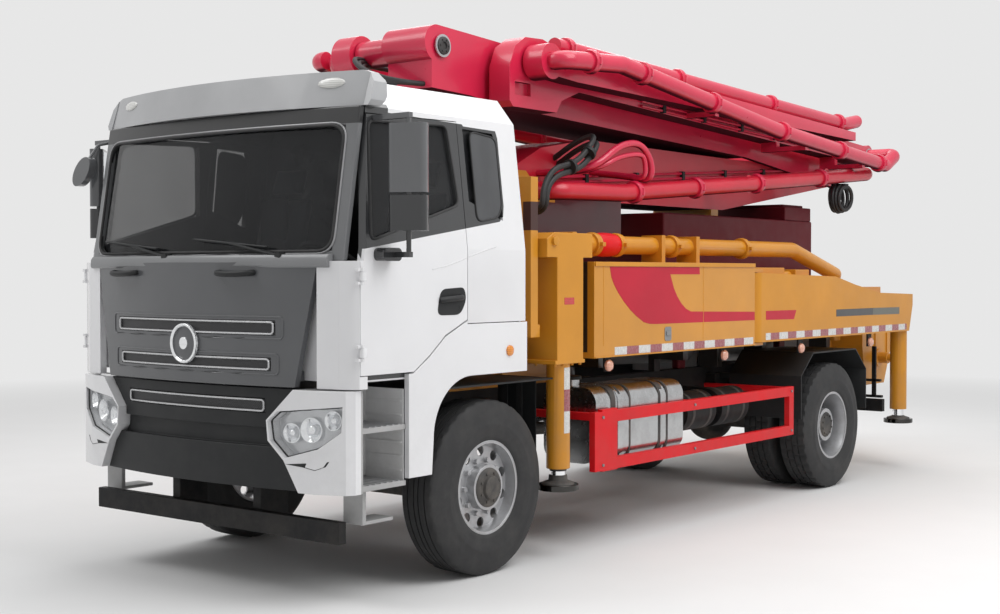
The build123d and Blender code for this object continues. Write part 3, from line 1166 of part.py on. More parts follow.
CYLINDER_LENGTH = hypot(CYLINDER_EYE[0] - CYLINDER_BASE[0], CYLINDER_EYE[1] - CYLINDER_BASE[1])
BARREL_END = CYLINDER_LENGTH - 150
with BuildPart() as lift_barrel:
    low = along(CYLINDER_BASE, CYLINDER_EYE, 125)
    high = along(CYLINDER_BASE, CYLINDER_EYE, BARREL_END)
    pipe([(0, *low), (0, *high)], BARREL_R, 0)
    cross_rod(*CYLINDER_BASE, 58, EYE_X)
    side_profile([along(CYLINDER_BASE, CYLINDER_EYE, 0, -40), along(CYLINDER_BASE, CYLINDER_EYE, 0, 40),
                  along(CYLINDER_BASE, CYLINDER_EYE, 130, 40), along(CYLINDER_BASE, CYLINDER_EYE, 130, -40)],
                 EYE_X)
    cross_rod(*CYLINDER_BASE, 35 + FIT, (-LUG_X[1], LUG_X[1]), mode=Mode.SUBTRACT)
    bore_from = along(CYLINDER_BASE, CYLINDER_EYE, 160)
    bore_to = along(CYLINDER_BASE, CYLINDER_EYE, BARREL_END + 1)
    pipe([(0, *bore_from), (0, *bore_to)], CYLINDER_ROD_R + FIT, 0, mode=Mode.SUBTRACT)
save(lift_barrel, "lift_barrel")

with BuildPart() as lift_rod:
    rod_from = along(CYLINDER_BASE, CYLINDER_EYE, 165)
    tongue = CYLINDER_LENGTH - 105
    rod_to = along(CYLINDER_BASE, CYLINDER_EYE, tongue)
    pipe([(0, *rod_from), (0, *rod_to)], CYLINDER_ROD_R, 0)
    cross_rod(*CYLINDER_EYE, 55, EYE_X)
    side_profile([along(CYLINDER_BASE, CYLINDER_EYE, tongue - 1, -40),
                  along(CYLINDER_BASE, CYLINDER_EYE, tongue - 1, 40),
                  along(CYLINDER_BASE, CYLINDER_EYE, CYLINDER_LENGTH, 40),
                  along(CYLINDER_BASE, CYLINDER_EYE, CYLINDER_LENGTH, -40)], EYE_X)
    cross_rod(*CYLINDER_EYE, 32, (-LUG_X[1], LUG_X[1]), mode=Mode.SUBTRACT)
save(lift_rod, "lift_rod")

with BuildPart() as boom_1:
    end = PIVOT_12[0]
    side_profile([(1300, 2290), (1300, 2600), (1700, 2790), (2300, 2890), (FORK_STATION - 50, 2880),
                  (end, 2950), (end, 2730), (4400, BOOM_UNDER_Z), (2600, BOOM_UNDER_Z)], SECTION_1_X)
    cross_rod(*LIFT_PIVOT, 155, SECTION_1_X)
    cross_rod(*PIVOT_12, 112, SECTION_1_X)
    cross_rod(*LIFT_PIVOT, PIN_R + FIT, SECTION_2_X, mode=Mode.SUBTRACT)
    cross_rod(*PIVOT_12, PIN_R + FIT, SECTION_2_X, mode=Mode.SUBTRACT)
    for side in (1, -1):
        lug = (side * LUG_X[0], side * LUG_X[1])
        side_profile([(2720, BOOM_UNDER_Z + 10), (2980, BOOM_UNDER_Z + 10), (2910, 2290), (2850, 2262),
                      (2790, 2290)], lug)
    # Delivery pipe on the left with its elbows at both pivots.
    pipe([(LOWER_PIPE_X - 330, *LIFT_PIVOT), (LOWER_PIPE_X, *LIFT_PIVOT), (LOWER_PIPE_X, 2100, 2455),
          (LOWER_PIPE_X, 4100, 2620), (LOWER_PIPE_X, *PIVOT_12), (365, *PIVOT_12)], PIPE_R, 110)
    for s, z in ((2300, 2472), (4100, 2620), (5600, 2760)):
        block((280, LOWER_PIPE_X), (s - 30, s + 30), (z - 30, z + 30))
        cross_rod(s, z, PIPE_R + 14, (LOWER_PIPE_X - 0.5, LOWER_PIPE_X + 0.5))
save(boom_1, "boom_1")

with BuildPart() as boom_2:
    side_profile([(NOSE_END, 3487), (FORK_STATION, 3160), (FORK_STATION, 2905), (NOSE_END, 3045)], SECTION_2_X)
    # Narrow nose with a rounded cap, and the tube that spaces the third section from it.
    side_profile([(455, 3525), (NOSE_END + 10, 3487), (NOSE_END + 10, 3046), (800, 3085), (400, 3100),
                  (400, 3300), (455, 3400)], NOSE_X)
    cross_rod(455, 3400, 125, NOSE_X)
    cross_rod(*PIVOT_23, 95, (SECTION_3_X[1] + GAP + 5, NOSE_X[0] + 1))
    for side in (1, -1):
        cheek = (side * FORK_X[0], side * FORK_X[1])
        end = PIVOT_12[0]
        side_profile([(FORK_STATION - 10, 3160), (end, 2960), (end, 2720), (FORK_STATION - 10, 2905)], cheek)
        cross_rod(*PIVOT_12, 125, cheek)
    cross_rod(*PIVOT_12, PIN_R, SECTION_2_X)
    cross_rod(*PIVOT_23, PIN_R, (SECTION_3_X[0] - 40, SECTION_2_X[1] + 12))
    pipe([(SECTION_3_X[0] - 30, *PIVOT_23), (FAR_PIPE_2_X, *PIVOT_23), (FAR_PIPE_2_X, 800, 3130),
          (FAR_PIPE_2_X, 6100, 2800), (FAR_PIPE_2_X, *PIVOT_12), (-345, *PIVOT_12)], PIPE_R, 78)
    for s, z in ((1300, 3099), (3600, 2956), (5600, 2831)):
        block((-345, FAR_PIPE_2_X), (s - 30, s + 30), (z - 30, z + 30))
save(boom_2, "boom_2")

with BuildPart() as boom_3:
    side_profile([along(PIVOT_23, PIVOT_34, 0, 120), along(PIVOT_23, PIVOT_34, 6360, 95),
                  along(PIVOT_23, PIVOT_34, 6360, -95), along(PIVOT_23, PIVOT_34, 0, -120)], SECTION_3_X)
    cross_rod(*PIVOT_23, 140, SECTION_3_X)
    cross_rod(*PIVOT_34, 115, SECTION_3_X)
    cross_rod(*PIVOT_23, PIN_R + FIT, (SECTION_3_X[0] - 1, SECTION_3_X[1] + 1), mode=Mode.SUBTRACT)
    cross_rod(*PIVOT_34, 70 + FIT, (SECTION_3_X[0] - 1, SECTION_3_X[1] + 1), mode=Mode.SUBTRACT)
    pipe([(FAR_PIPE_2_X - PIPE_R - GAP, *PIVOT_23), (FAR_PIPE_3_X, *PIVOT_23), (FAR_PIPE_3_X, *PIVOT_34),
          (SECTION_3_X[0] - 60, *PIVOT_34)], PIPE_R, 85)
    for distance in (1200, 3200, 5200):
        s, z = along(PIVOT_23, PIVOT_34, distance)
        block((SECTION_3_X[0] + 1, FAR_PIPE_3_X), (s - 30, s + 30), (z - 30, z + 30))
save(boom_3, "boom_3")

with BuildPart() as boom_4:
    side_profile([along(PIVOT_45, PIVOT_34, 0, 120), along(PIVOT_45, PIVOT_34, 5655, 90),
                  along(PIVOT_45, PIVOT_34, 5655, -90), along(PIVOT_45, PIVOT_34, 0, -120)], SECTION_4_X)
    cross_rod(*PIVOT_34, 110, SECTION_4_X)
    cross_rod(*PIVOT_45, 165, SECTION_4_X)
    # Deep knuckle housing under and ahead of the pivot, with a pocket in its outer face.
    side_profile([(950, 3050), (950, 3290), (1010, 3430), (1130, 3505), (1330, 3515), (1700, 3424),
                  (1800, 3190), (1560, 3100), (1500, 3010), (990, 3010)], SECTION_4_X)
    block((SECTION_4_X[1] - 30, SECTION_4_X[1] + 1), (1010, 1190), (3095, 3185), mode=Mode.SUBTRACT)
    cross_rod(*PIVOT_34, 70, (SECTION_3_X[0] - 40, SECTION_4_X[1]))
    cross_rod(*PIVOT_45, PIN_R, (SECTION_4_X[0], SECTION_5_X[1] + 30))
    pipe([(SECTION_5_X[1] + 20, *PIVOT_45), (NEAR_PIPE_X, *PIVOT_45), (NEAR_PIPE_X, 1900, 3375),
          (NEAR_PIPE_X, 4300, 3090), (NEAR_PIPE_X, WHEELBASE + 1900, 2920), (NEAR_PIPE_X, *PIVOT_34),
          (SECTION_4_X[1] - 5, *PIVOT_34)], PIPE_R, 78)
    for s, z in ((3300, 3209), (4900, 3046), (6100, 2957)):
        block((SECTION_4_X[1] - 5, NEAR_PIPE_X), (s - 30, s + 30), (z - 90, z - 50))
        block((SECTION_4_X[0] + 20, SECTION_4_X[1]), (s - 30, s + 30), (z - 90, z + 120))
save(boom_4, "boom_4")

TIP = (WHEELBASE + 1450, 3175)
with BuildPart() as boom_5:
    side_profile([(1200, 3235), (1200, 3425), (1500, 3400), (TIP[0], TIP[1] + 40), (TIP[0], TIP[1] - 40),
                  (1500, 3215)], SECTION_5_X)
    cross_rod(*PIVOT_45, 125, SECTION_5_X)
    cross_rod(*PIVOT_45, PIN_R + FIT, (SECTION_5_X[0] - 1, SECTION_5_X[1] + 1), mode=Mode.SUBTRACT)
    pipe([(TIP_PIPE_X, 1330, 3455), (TIP_PIPE_X, TIP[0] - 100, TIP[1] + 115),
          (TIP_PIPE_X, TIP[0] + 180, TIP[1] + 165)], 62, 300)
    for s, z in ((1700, 3442), (3200, 3390), (4700, 3337), (5800, 3299)):
        block((TIP_PIPE_X - 30, TIP_PIPE_X + 30), (s - 25, s + 25), (z - 110, z))
save(boom_5, "boom_5")
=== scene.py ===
"""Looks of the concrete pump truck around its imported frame. Metres, in the frame's own axes."""

import json
import math

import bmesh
import bpy
from mathutils import Matrix, Vector


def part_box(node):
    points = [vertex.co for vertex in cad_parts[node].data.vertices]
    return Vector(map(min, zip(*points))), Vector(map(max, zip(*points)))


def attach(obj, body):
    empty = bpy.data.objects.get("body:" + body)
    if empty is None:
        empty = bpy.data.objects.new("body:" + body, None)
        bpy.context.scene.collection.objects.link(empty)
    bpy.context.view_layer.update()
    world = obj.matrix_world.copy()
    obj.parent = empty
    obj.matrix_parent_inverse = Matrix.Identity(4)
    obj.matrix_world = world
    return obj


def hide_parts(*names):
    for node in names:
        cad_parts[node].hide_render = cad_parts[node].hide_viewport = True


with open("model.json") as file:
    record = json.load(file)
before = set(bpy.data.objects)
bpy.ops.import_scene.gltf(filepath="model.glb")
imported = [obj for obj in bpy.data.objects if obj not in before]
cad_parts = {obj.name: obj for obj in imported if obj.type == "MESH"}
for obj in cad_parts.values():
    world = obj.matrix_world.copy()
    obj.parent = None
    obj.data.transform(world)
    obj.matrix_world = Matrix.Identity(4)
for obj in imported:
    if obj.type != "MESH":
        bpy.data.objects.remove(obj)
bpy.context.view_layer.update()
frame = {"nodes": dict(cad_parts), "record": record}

RECORD = frame["record"]
BODY_OF = {n: b for b, nodes in RECORD["behaviour"]["bodies"].items() for n in nodes}
SLOT_OF = {row["node"]: row["material_slot"] for row in RECORD["subparts"]}
SIDES = {1: "left", -1: "right"}  # by the sign of X
OUT, UP, DOWN, BACK, FORWARD = (1, 0, 0), (0, 0, 1), (0, 0, -1), (0, 1, 0), (0, -1, 0)
AXLE_Y = sum(corner[1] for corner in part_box("tyre_front_left")) / 2


def at(x, station, z):
    """Point by its station, which is measured back from the front axle."""
    return Vector((x, AXLE_Y + station, z))


def circle(radius, count, start=0.0, high=None):
    """Points round a circle, or round an oval with another half height."""
    angles = (2 * math.pi * (k + start) / count for k in range(count))
    return [(math.cos(a) * radius, math.sin(a) * (high or radius)) for a in angles]


# ---- materials ---------------------------------------------------------------------------
class Nodes:
    """Node tree of a material or the world, with short ways to add nodes. Underscores stand for spaces."""

    def __init__(self, owner):
        self.material = bpy.data.materials.new(owner) if isinstance(owner, str) else owner
        self.material.use_nodes = True
        self.tree = self.material.node_tree
        self.shader = self.tree.nodes.get("Principled BSDF") or self.tree.nodes["Background"]
        self.coords = self.add("TexCoord", out="Object")

    def put(self, socket, value):
        if isinstance(value, bpy.types.NodeSocket):
            self.tree.links.new(value, socket)
        else:
            socket.default_value = (*value, 1) if socket.type == "RGBA" else value

    def add(self, kind, *values, out=0, **settings):
        """Output of a new node: values fill its first inputs, settings name inputs or properties."""
        node = self.tree.nodes.new(f"ShaderNode{kind}")
        for key, value in settings.items():
            if key.replace("_", " ") in node.inputs:
                self.put(node.inputs[key.replace("_", " ")], value)
            else:
                setattr(node, key, value)
        for socket, value in zip(node.inputs, values):
            self.put(socket, value)
        return node.outputs[out]

    def shade(self, **looks):
        """Fills inputs of the shader and gives the material."""
        for key, value in looks.items():
            self.put(self.shader.inputs[key.replace("_", " ")], value)
        return self.material

    def source(self, key):
        return self.shader.inputs[key].links[0].from_socket

    def noise(self, scale, detail=4.0, rough=0.55, stretch=(1, 1, 1)):
        where = self.add("Mapping", self.coords, Scale=stretch)
        return self.add("TexNoise", where, Scale=scale, Detail=detail, Roughness=rough)

    def wave(self, direction, scale, where=None, wobble=0.0):
        return self.add("TexWave", where or self.coords, Scale=scale, Distortion=wobble,
                        bands_direction=direction, out="Fac")

    def ramp(self, value, low, high, top=1.0):
        """0 up to a low value, rising to the top grey at a high one."""
        grey = self.add("ValToRGB", value)
        for stop, place, level in zip(grey.node.color_ramp.elements, (low, high), (0.0, top)):
            stop.position = place
            stop.color = (level, level, level, 1)
        return grey

    def blend(self, factor, a, b, how="MIX"):
        mix = self.add("Mix", factor, data_type="RGBA", blend_type=how, out=2)
        self.put(mix.node.inputs[6], a)
        self.put(mix.node.inputs[7], b)
        return mix

    def spread(self, value, low, high, start=0.0, end=1.0):
        """A value's stretch from start to end, moved to low to high."""
        return self.add("MapRange", value, start, end, low, high)

    def split(self, axis, vector=None):
        return self.add("SeparateXYZ", vector or self.coords, out=axis)

    def maths(self, operation, first, *others):
        for other in others:
            first = self.add("Math", first, other, operation=operation)
        return first

    def times(self, a, b):
        return self.maths("MULTIPLY", a, b)

    def bump(self, height, strength, distance=0.001):
        return self.add("Bump", Strength=strength, Distance=distance, Height=height)


def scaled(colour, by):
    return tuple(channel * by for channel in colour)


def paint(name, colour, rough=0.28, coat=0.5, dust=0.12, metal=0.0, mottled=0.1, shine=0.5):
    """Sprayed paint: faint mottling, orange peel, and road dust towards the ground."""
    n = Nodes(name)
    mottle = n.ramp(n.noise(2.3, 5), 0.3, 0.7)
    base = n.blend(mottle, scaled(colour, 1 - mottled), scaled(colour, 1 + mottled * 0.4))
    near_ground = n.spread(n.split(2), 1, 0, 0.35, 1.5)
    grime = n.times(near_ground, n.ramp(n.noise(5.5, 7, 0.7), 0.4, 0.75))
    specks = n.ramp(n.noise(60, 3), 0.68, 0.74)
    base = n.blend(n.times(grime, dust * 3.0), base, (0.16, 0.14, 0.12))
    base = n.blend(n.times(specks, dust * 0.6), base, (0.1, 0.09, 0.08))
    return n.shade(Base_Color=base, Metallic=metal, Specular_IOR_Level=shine,
                   Roughness=n.spread(n.noise(9, 5), rough * 0.75, rough * 1.35),
                   Coat_Weight=coat, Coat_Roughness=0.08, Normal=n.bump(n.noise(160, 2), 0.05))


def bare_metal(name, colour, rough=0.35, streaks=(1, 1, 1), dirt=0.2, bump=0.1):
    """Bare metal with drawn streaks and patches of grease and dust."""
    n = Nodes(name)
    patches = n.ramp(n.noise(7, 7, 0.65), 0.42, 0.7)
    drawn = n.noise(30, 4, 0.6, streaks)
    return n.shade(Base_Color=n.blend(n.times(patches, dirt), colour, (0.06, 0.05, 0.045)), Metallic=1.0,
                   Roughness=n.spread(drawn, rough * 0.7, rough * 1.4), Normal=n.bump(drawn, bump))


def moulded(name, colour, rough=0.55, grain=240, dust=0.2, shine=0.5):
    """Grained plastic or rubber with dust in the hollows."""
    n = Nodes(name)
    patches = n.ramp(n.noise(4, 6, 0.7), 0.45, 0.8)
    return n.shade(Base_Color=n.blend(n.times(patches, dust), colour, (0.19, 0.18, 0.165)),
                   Roughness=n.spread(n.noise(11, 4), rough * 0.85, rough * 1.15),
                   Specular_IOR_Level=shine, Normal=n.bump(n.noise(grain, 2), 0.18))


def glass(name, colour, alpha, rough=0.03):
    """Pane with faint smears: see-through by alpha, so the cab behind shows at its own colours."""
    n = Nodes(name)
    smear = n.ramp(n.noise(3, 6, 0.6, (1, 1, 0.4)), 0.4, 0.8)
    return n.shade(Base_Color=n.blend(n.times(smear, 0.5), colour, scaled(colour, 1.8)), IOR=1.45,
                   Roughness=n.spread(smear, rough, rough * 2.5),
                   Alpha=n.spread(smear, alpha, min(1, alpha + 0.05)))


def meshed(name, colour, cell=0.011):
    """Wire mesh: dark cells between lighter wires, by two sets of waves."""
    n = Nodes(name)
    wires = []
    for turn in (45, -45):
        where = n.add("Mapping", n.coords, Rotation=(0, math.radians(turn), 0))
        wires.append(n.ramp(n.wave("X", 0.314 / cell, where), 0.55, 0.7))
    both = n.blend(1.0, *wires, "LIGHTEN")
    return n.shade(Base_Color=n.blend(both, scaled(colour, 0.12), colour), Roughness=0.45,
                   Normal=n.bump(both, 0.8, 0.003))


def lamp(name, colour):
    """Coloured lens with fine ribs."""
    n = Nodes(name)
    ribs = n.wave("Z", 170 / 6)
    return n.shade(Base_Color=n.blend(ribs, scaled(colour, 0.75), colour), Coat_Weight=0.8,
                   Roughness=n.spread(n.noise(20), 0.1, 0.2), Normal=n.bump(ribs, 0.3, 0.002))


def taped(name, axis, run, start):
    """Reflective tape in white and red lengths along an axis, with its honeycomb."""
    n = Nodes(name)
    along = n.maths("SUBTRACT", n.split(axis), start - run / 2)
    red = n.maths("LESS_THAN", n.maths("PINGPONG", along, run), run / 2)
    cells = n.add("TexVoronoi", n.coords, Scale=160)
    base = n.blend(red, (0.78, 0.77, 0.74), (0.33, 0.012, 0.03))
    return n.shade(Base_Color=n.blend(n.ramp(cells, 0.2, 0.5, 0.4), base, (0.3, 0.3, 0.3)),
                   Roughness=n.spread(n.noise(30), 0.2, 0.35), Normal=n.bump(cells, 0.1))


def cloth(name, colour):
    """Woven seat cloth."""
    n = Nodes(name)
    woven = n.times(n.wave("X", 90, wobble=0.6), n.wave("Z", 90, wobble=0.6))
    return n.shade(Base_Color=n.blend(woven, scaled(colour, 0.6), scaled(colour, 1.3)), Sheen_Weight=0.3,
                   Roughness=n.spread(n.noise(12), 0.8, 0.95), Normal=n.bump(woven, 0.4, 0.002))


def facing(direction, point):
    """Plane that looks along a direction into a region."""
    return Vector(direction).normalized(), at(*point)


def sides_of(outline):
    """Inward planes of a convex (station, z) outline."""
    return [facing((0, z0 - z1, s1 - s0), (0, s0, z0))
            for (s0, z0), (s1, z1) in zip(outline, outline[1:] + outline[:1])]


def block(s0, s1, z0, z1):
    """Inward planes of a range of stations and heights."""
    return sides_of([(s0, z0), (s1, z0), (s1, z1), (s0, z1)])


def overpainted(material, regions, dark):
    """A second colour on a material inside some convex regions of inward planes: a second paint in some uses,
    painted shade in others.
    """
    n = Nodes(material)
    depths = []
    for planes in regions:
        dots = []
        for across, point in planes:
            reach = n.add("VectorMath", n.coords, across, operation="DOT_PRODUCT", out="Value")
            dots.append(n.maths("SUBTRACT", reach, across.dot(point)))
        depths.append(n.maths("MINIMUM", *dots))
    inside = n.spread(n.maths("MAXIMUM", *depths), 0, 1, -0.0006, 0.0006)
    base = n.source("Base Color")
    second_paint_and_shade = n.blend(n.noise(3.0), scaled(dark, 0.85), scaled(dark, 1.15))
    return n.shade(Base_Color=n.blend(inside, base, second_paint_and_shade))


def shaded_and_dulled_below(material, dark):
    """Paints shade, with some dust, on the faces of a paint that look down, and takes away their shine."""
    n = Nodes(material)
    down = n.spread(n.split(2, n.coords.node.outputs["Normal"]), 1, 0, -0.95, -0.75)
    coat, shine = (n.shader.inputs[key].default_value for key in ("Coat Weight", "Specular IOR Level"))
    return n.shade(Base_Color=n.blend(down, n.source("Base Color"), dark),
                   Roughness=n.maths("MAXIMUM", n.source("Roughness"), down),
                   Coat_Weight=n.spread(down, coat, 0), Specular_IOR_Level=n.spread(down, shine, 0.1))


YELLOW = (0.62, 0.262, 0.02)
CAB_WHITE = ((0.8, 0.8, 0.815), 0.22, 0.7, 0.05, 0.0, 0.03)
# Paints: colour, roughness, coat and dust, then metal, mottling and shine.
PAINTS = {
    "cab_white": CAB_WHITE,
    "cab_two_tone": CAB_WHITE,
    "cab_dark": ((0.085, 0.088, 0.094), 0.32, 0.5, 0.1),
    "visor_grey": ((0.42, 0.425, 0.435), 0.35, 0.3, 0.06),
    # Windshield frame: a lighter copy of the cab's dark grey, partly its own grey and partly a painted
    # highlight on the pillars.
    "screen_frame": ((0.17, 0.174, 0.18), 0.32, 0.3, 0.08),
    "mirror_shell": ((0.125, 0.128, 0.134), 0.16, 0.5, 0.05),
    "cowl_grey": ((0.21, 0.214, 0.22), 0.36, 0.3, 0.08),
    "bead_grey": ((0.36, 0.36, 0.37), 0.3, 0.3, 0.04),
    "bead_light": ((0.55, 0.55, 0.56), 0.25, 0.5, 0.03, 0.6),
    "lamp_shell": ((0.66, 0.67, 0.68), 0.16, 0.6, 0.02, 0.35),
    "step_grey": ((0.42, 0.42, 0.42), 0.45, 0.1, 0.12),
    # Step grey made paler for the wells: painted light in their shade.
    "well_grey": ((0.7, 0.7, 0.7), 0.45, 0.1, 0.12),
    "black_steel": ((0.012, 0.012, 0.013), 0.5, 0.0, 0.06, 0.0, 0.1, 0.2),
    "steel_grey": ((0.23, 0.235, 0.24), 0.42, 0.1, 0.2),
    "iron": ((0.035, 0.034, 0.034), 0.6, 0.0, 0.35),
    "rim_silver": ((0.47, 0.475, 0.49), 0.32, 0.3, 0.16, 0.55),
    "yellow": (YELLOW, 0.34, 0.12, 0.1, 0.0, 0.1, 0.35),
    "pedestal_tone": (YELLOW, 0.34, 0.12, 0.1),
    "deck_tone": (YELLOW, 0.32, 0.25, 0.1),
    "turret_tone": (YELLOW, 0.32, 0.25, 0.1),
    "red": ((0.63, 0.016, 0.062), 0.3, 0.3, 0.05),
    # First section's red: the boom's red darkened as painted shade on the lower section.
    "low_boom_red": ((0.58, 0.009, 0.032), 0.34, 0.15, 0.06),
    # Very dark red: red paint with the shade under the boom painted into it.
    "maroon": ((0.105, 0.005, 0.01), 0.46, 0.0, 0.08, 0.0, 0.1, 0.2),
    "guard_red": ((0.7, 0.008, 0.014), 0.4, 0.0, 0.06, 0.0, 0.1, 0.25),
    "stripe_red": ((0.5, 0.008, 0.03), 0.34, 0.05, 0.05, 0.0, 0.1, 0.3),
    "stripe_black": ((0.02, 0.02, 0.02), 0.3, 0.4, 0.06),
    "stripe_grey": ((0.085, 0.085, 0.06), 0.3, 0.4, 0.06),
}
MAT = {name: paint(name, *looks) for name, looks in PAINTS.items()} | {
    "tank_aluminium": bare_metal("tank_aluminium", (0.52, 0.525, 0.53), 0.24, (1, 12, 1), 0.25),
    "chrome": bare_metal("chrome", (0.86, 0.87, 0.88), 0.12, (1, 1, 1), 0.05, 0.02),
    "jack": bare_metal("jack_chrome", (0.86, 0.87, 0.88), 0.14, (1, 1, 1), 0.05, 0.02),
    "mirror_glass": bare_metal("mirror_glass", (0.75, 0.78, 0.8), 0.04, (1, 1, 1), 0.02, 0.0),
    "tyre": moulded("tyre_rubber", (0.022, 0.022, 0.023), 0.72, 130, 0.14),
    "rubber": moulded("black_rubber", (0.015, 0.015, 0.016), 0.6, 90, 0.1),
    "plastic_black": moulded("plastic_black", (0.018, 0.019, 0.02), 0.5, 260, 0.06, 0.28),
    "glass": glass("pane", (0.022, 0.023, 0.025), 0.4),
    "lamp_glass": glass("lamp_lens", (0.85, 0.87, 0.9), 0.1, 0.02),
    "pane_print": glass("quarter_pane", (0.075, 0.077, 0.081), 0.94),
    "mesh_black": meshed("grille_mesh", (0.045, 0.045, 0.048)),
    "cloth_grey": cloth("seat_cloth", (0.1, 0.1, 0.11)),
    "tape": taped("tape", 1, 0.15, AXLE_Y + 1.25),
    "leg_tape": taped("leg_tape", 2, 0.143, 0.815),
    "amber": lamp("amber_lens", (0.85, 0.28, 0.02)),
    "pale_amber": lamp("pale_amber_lens", (0.82, 0.42, 0.3)),
    "red_lens": lamp("red_lens", (0.6, 0.02, 0.02)),
    "white_lens": lamp("white_lens", (0.75, 0.75, 0.72)),
}
# Finish slots of the materials that aren't named after one.
SLOT = {
    **dict.fromkeys(("tape", "leg_tape", "amber", "pale_amber", "red_lens", "white_lens"), "lamp_glass"),
    **dict.fromkeys(("bead_light", "lamp_shell", "mirror_glass"), "chrome"),
    **dict.fromkeys(("bead_grey", "well_grey", "stripe_grey"), "steel_grey"),
    "cowl_grey": "cab_dark", "rubber": "plastic_black", "pane_print": "glass", "stripe_red": "red",
    "stripe_black": "black_steel",
}
# Dark bands round the side windows: the pillar and door window, then the rear quarter.
WINDOW_BANDS = [sides_of(outline) for outline in (
    [(-1.35, 1.963), (-0.2, 2.135), (-0.2, 2.728), (-0.225, 2.752), (-0.87, 2.765), (-1.35, 2.77)],
    [(-1.35, 2.7), (-0.885, 2.7), (-0.865, 2.812), (-1.35, 2.812)],
    [(-0.3, 2.12), (0.055, 2.173), (0.095, 2.205), (0.11, 2.27), (0.11, 2.69), (0.095, 2.735),
     (-0.3, 2.742)],
)]
# Everything inside the cab's skin: side walls upright and leaning, eaves, roof, back wall, floor, front.
LINING = [facing((-side * x, 0, -z), (side * half, 0, height)) for side in (1, -1) for x, z, half, height in (
    (1, 0, 1.2, 2.0), (1, 0.12, 1.2, 2.0), (0.16, 0.13, 1.1, 2.785))] + [
    facing((0, 0, -1), (0, 0, 2.942)), facing((0, -1, 0), (0, 0.268, 0)),
    facing((0, 0, 1), (0, 0, 1.265)), facing((0, 1, 0), (0, -1.17, 0))]
# Second colours: regions, and the colour in them.
for name, regions, dark in (
    ("cab_two_tone", WINDOW_BANDS + [LINING], (0.03, 0.031, 0.033)),
    # Painted shadow of the sun visor across the top of the windshield frame.
    ("screen_frame", [block(-1.5, -0.8, 2.69, 2.9)], (0.018, 0.018, 0.019)),
    ("mirror_shell", [block(-1.5, -0.5, 1.9, 2.292)], (0.028, 0.029, 0.031)),
    # Chassis level of the deck's sides, and the edges of its front wall.
    ("deck_tone", [block(0.9, 7.2, 0.4, 1.286), block(0.9, 1.012, 1.33, 1.95) + [
        facing((-side, 0, 0), (side * 1.195, 0, 0)) for side in (1, -1)]], (0.02, 0.019, 0.018)),
    # Dark red on the turret's lower and rear plates: painted shade under the boom, standing also for the dark
    # hoses there.
    ("turret_tone", [block(1.33, 3.0, 2.14, 2.38), block(1.72, 3.0, 2.0, 3.0)], (0.085, 0.004, 0.01)),
    # The front plates of the pedestal stand in the shade of the hoses behind the cab.
    ("pedestal_tone", [[facing((side, 0, 0), (side * 1.128, 0, 0)), facing((0, 0, 1), (0, 0, 2.13)),
                        facing((0, 0, -1), (0, 0, 2.312))] for side in (1, -1)], (0.045, 0.01, 0.006)),
    # Chrome rods end in dark iron feet.
    ("jack", [[facing((0, 0, -1), (0, 0, 0.5))]], (0.06, 0.058, 0.055)),
):
    overpainted(MAT[name], regions, dark)
# The boom reds get painted shade, with some dust, on their downward faces.
shaded_and_dulled_below(MAT["red"], (0.06, 0.004, 0.012))
shaded_and_dulled_below(MAT["low_boom_red"], (0.05, 0.004, 0.01))


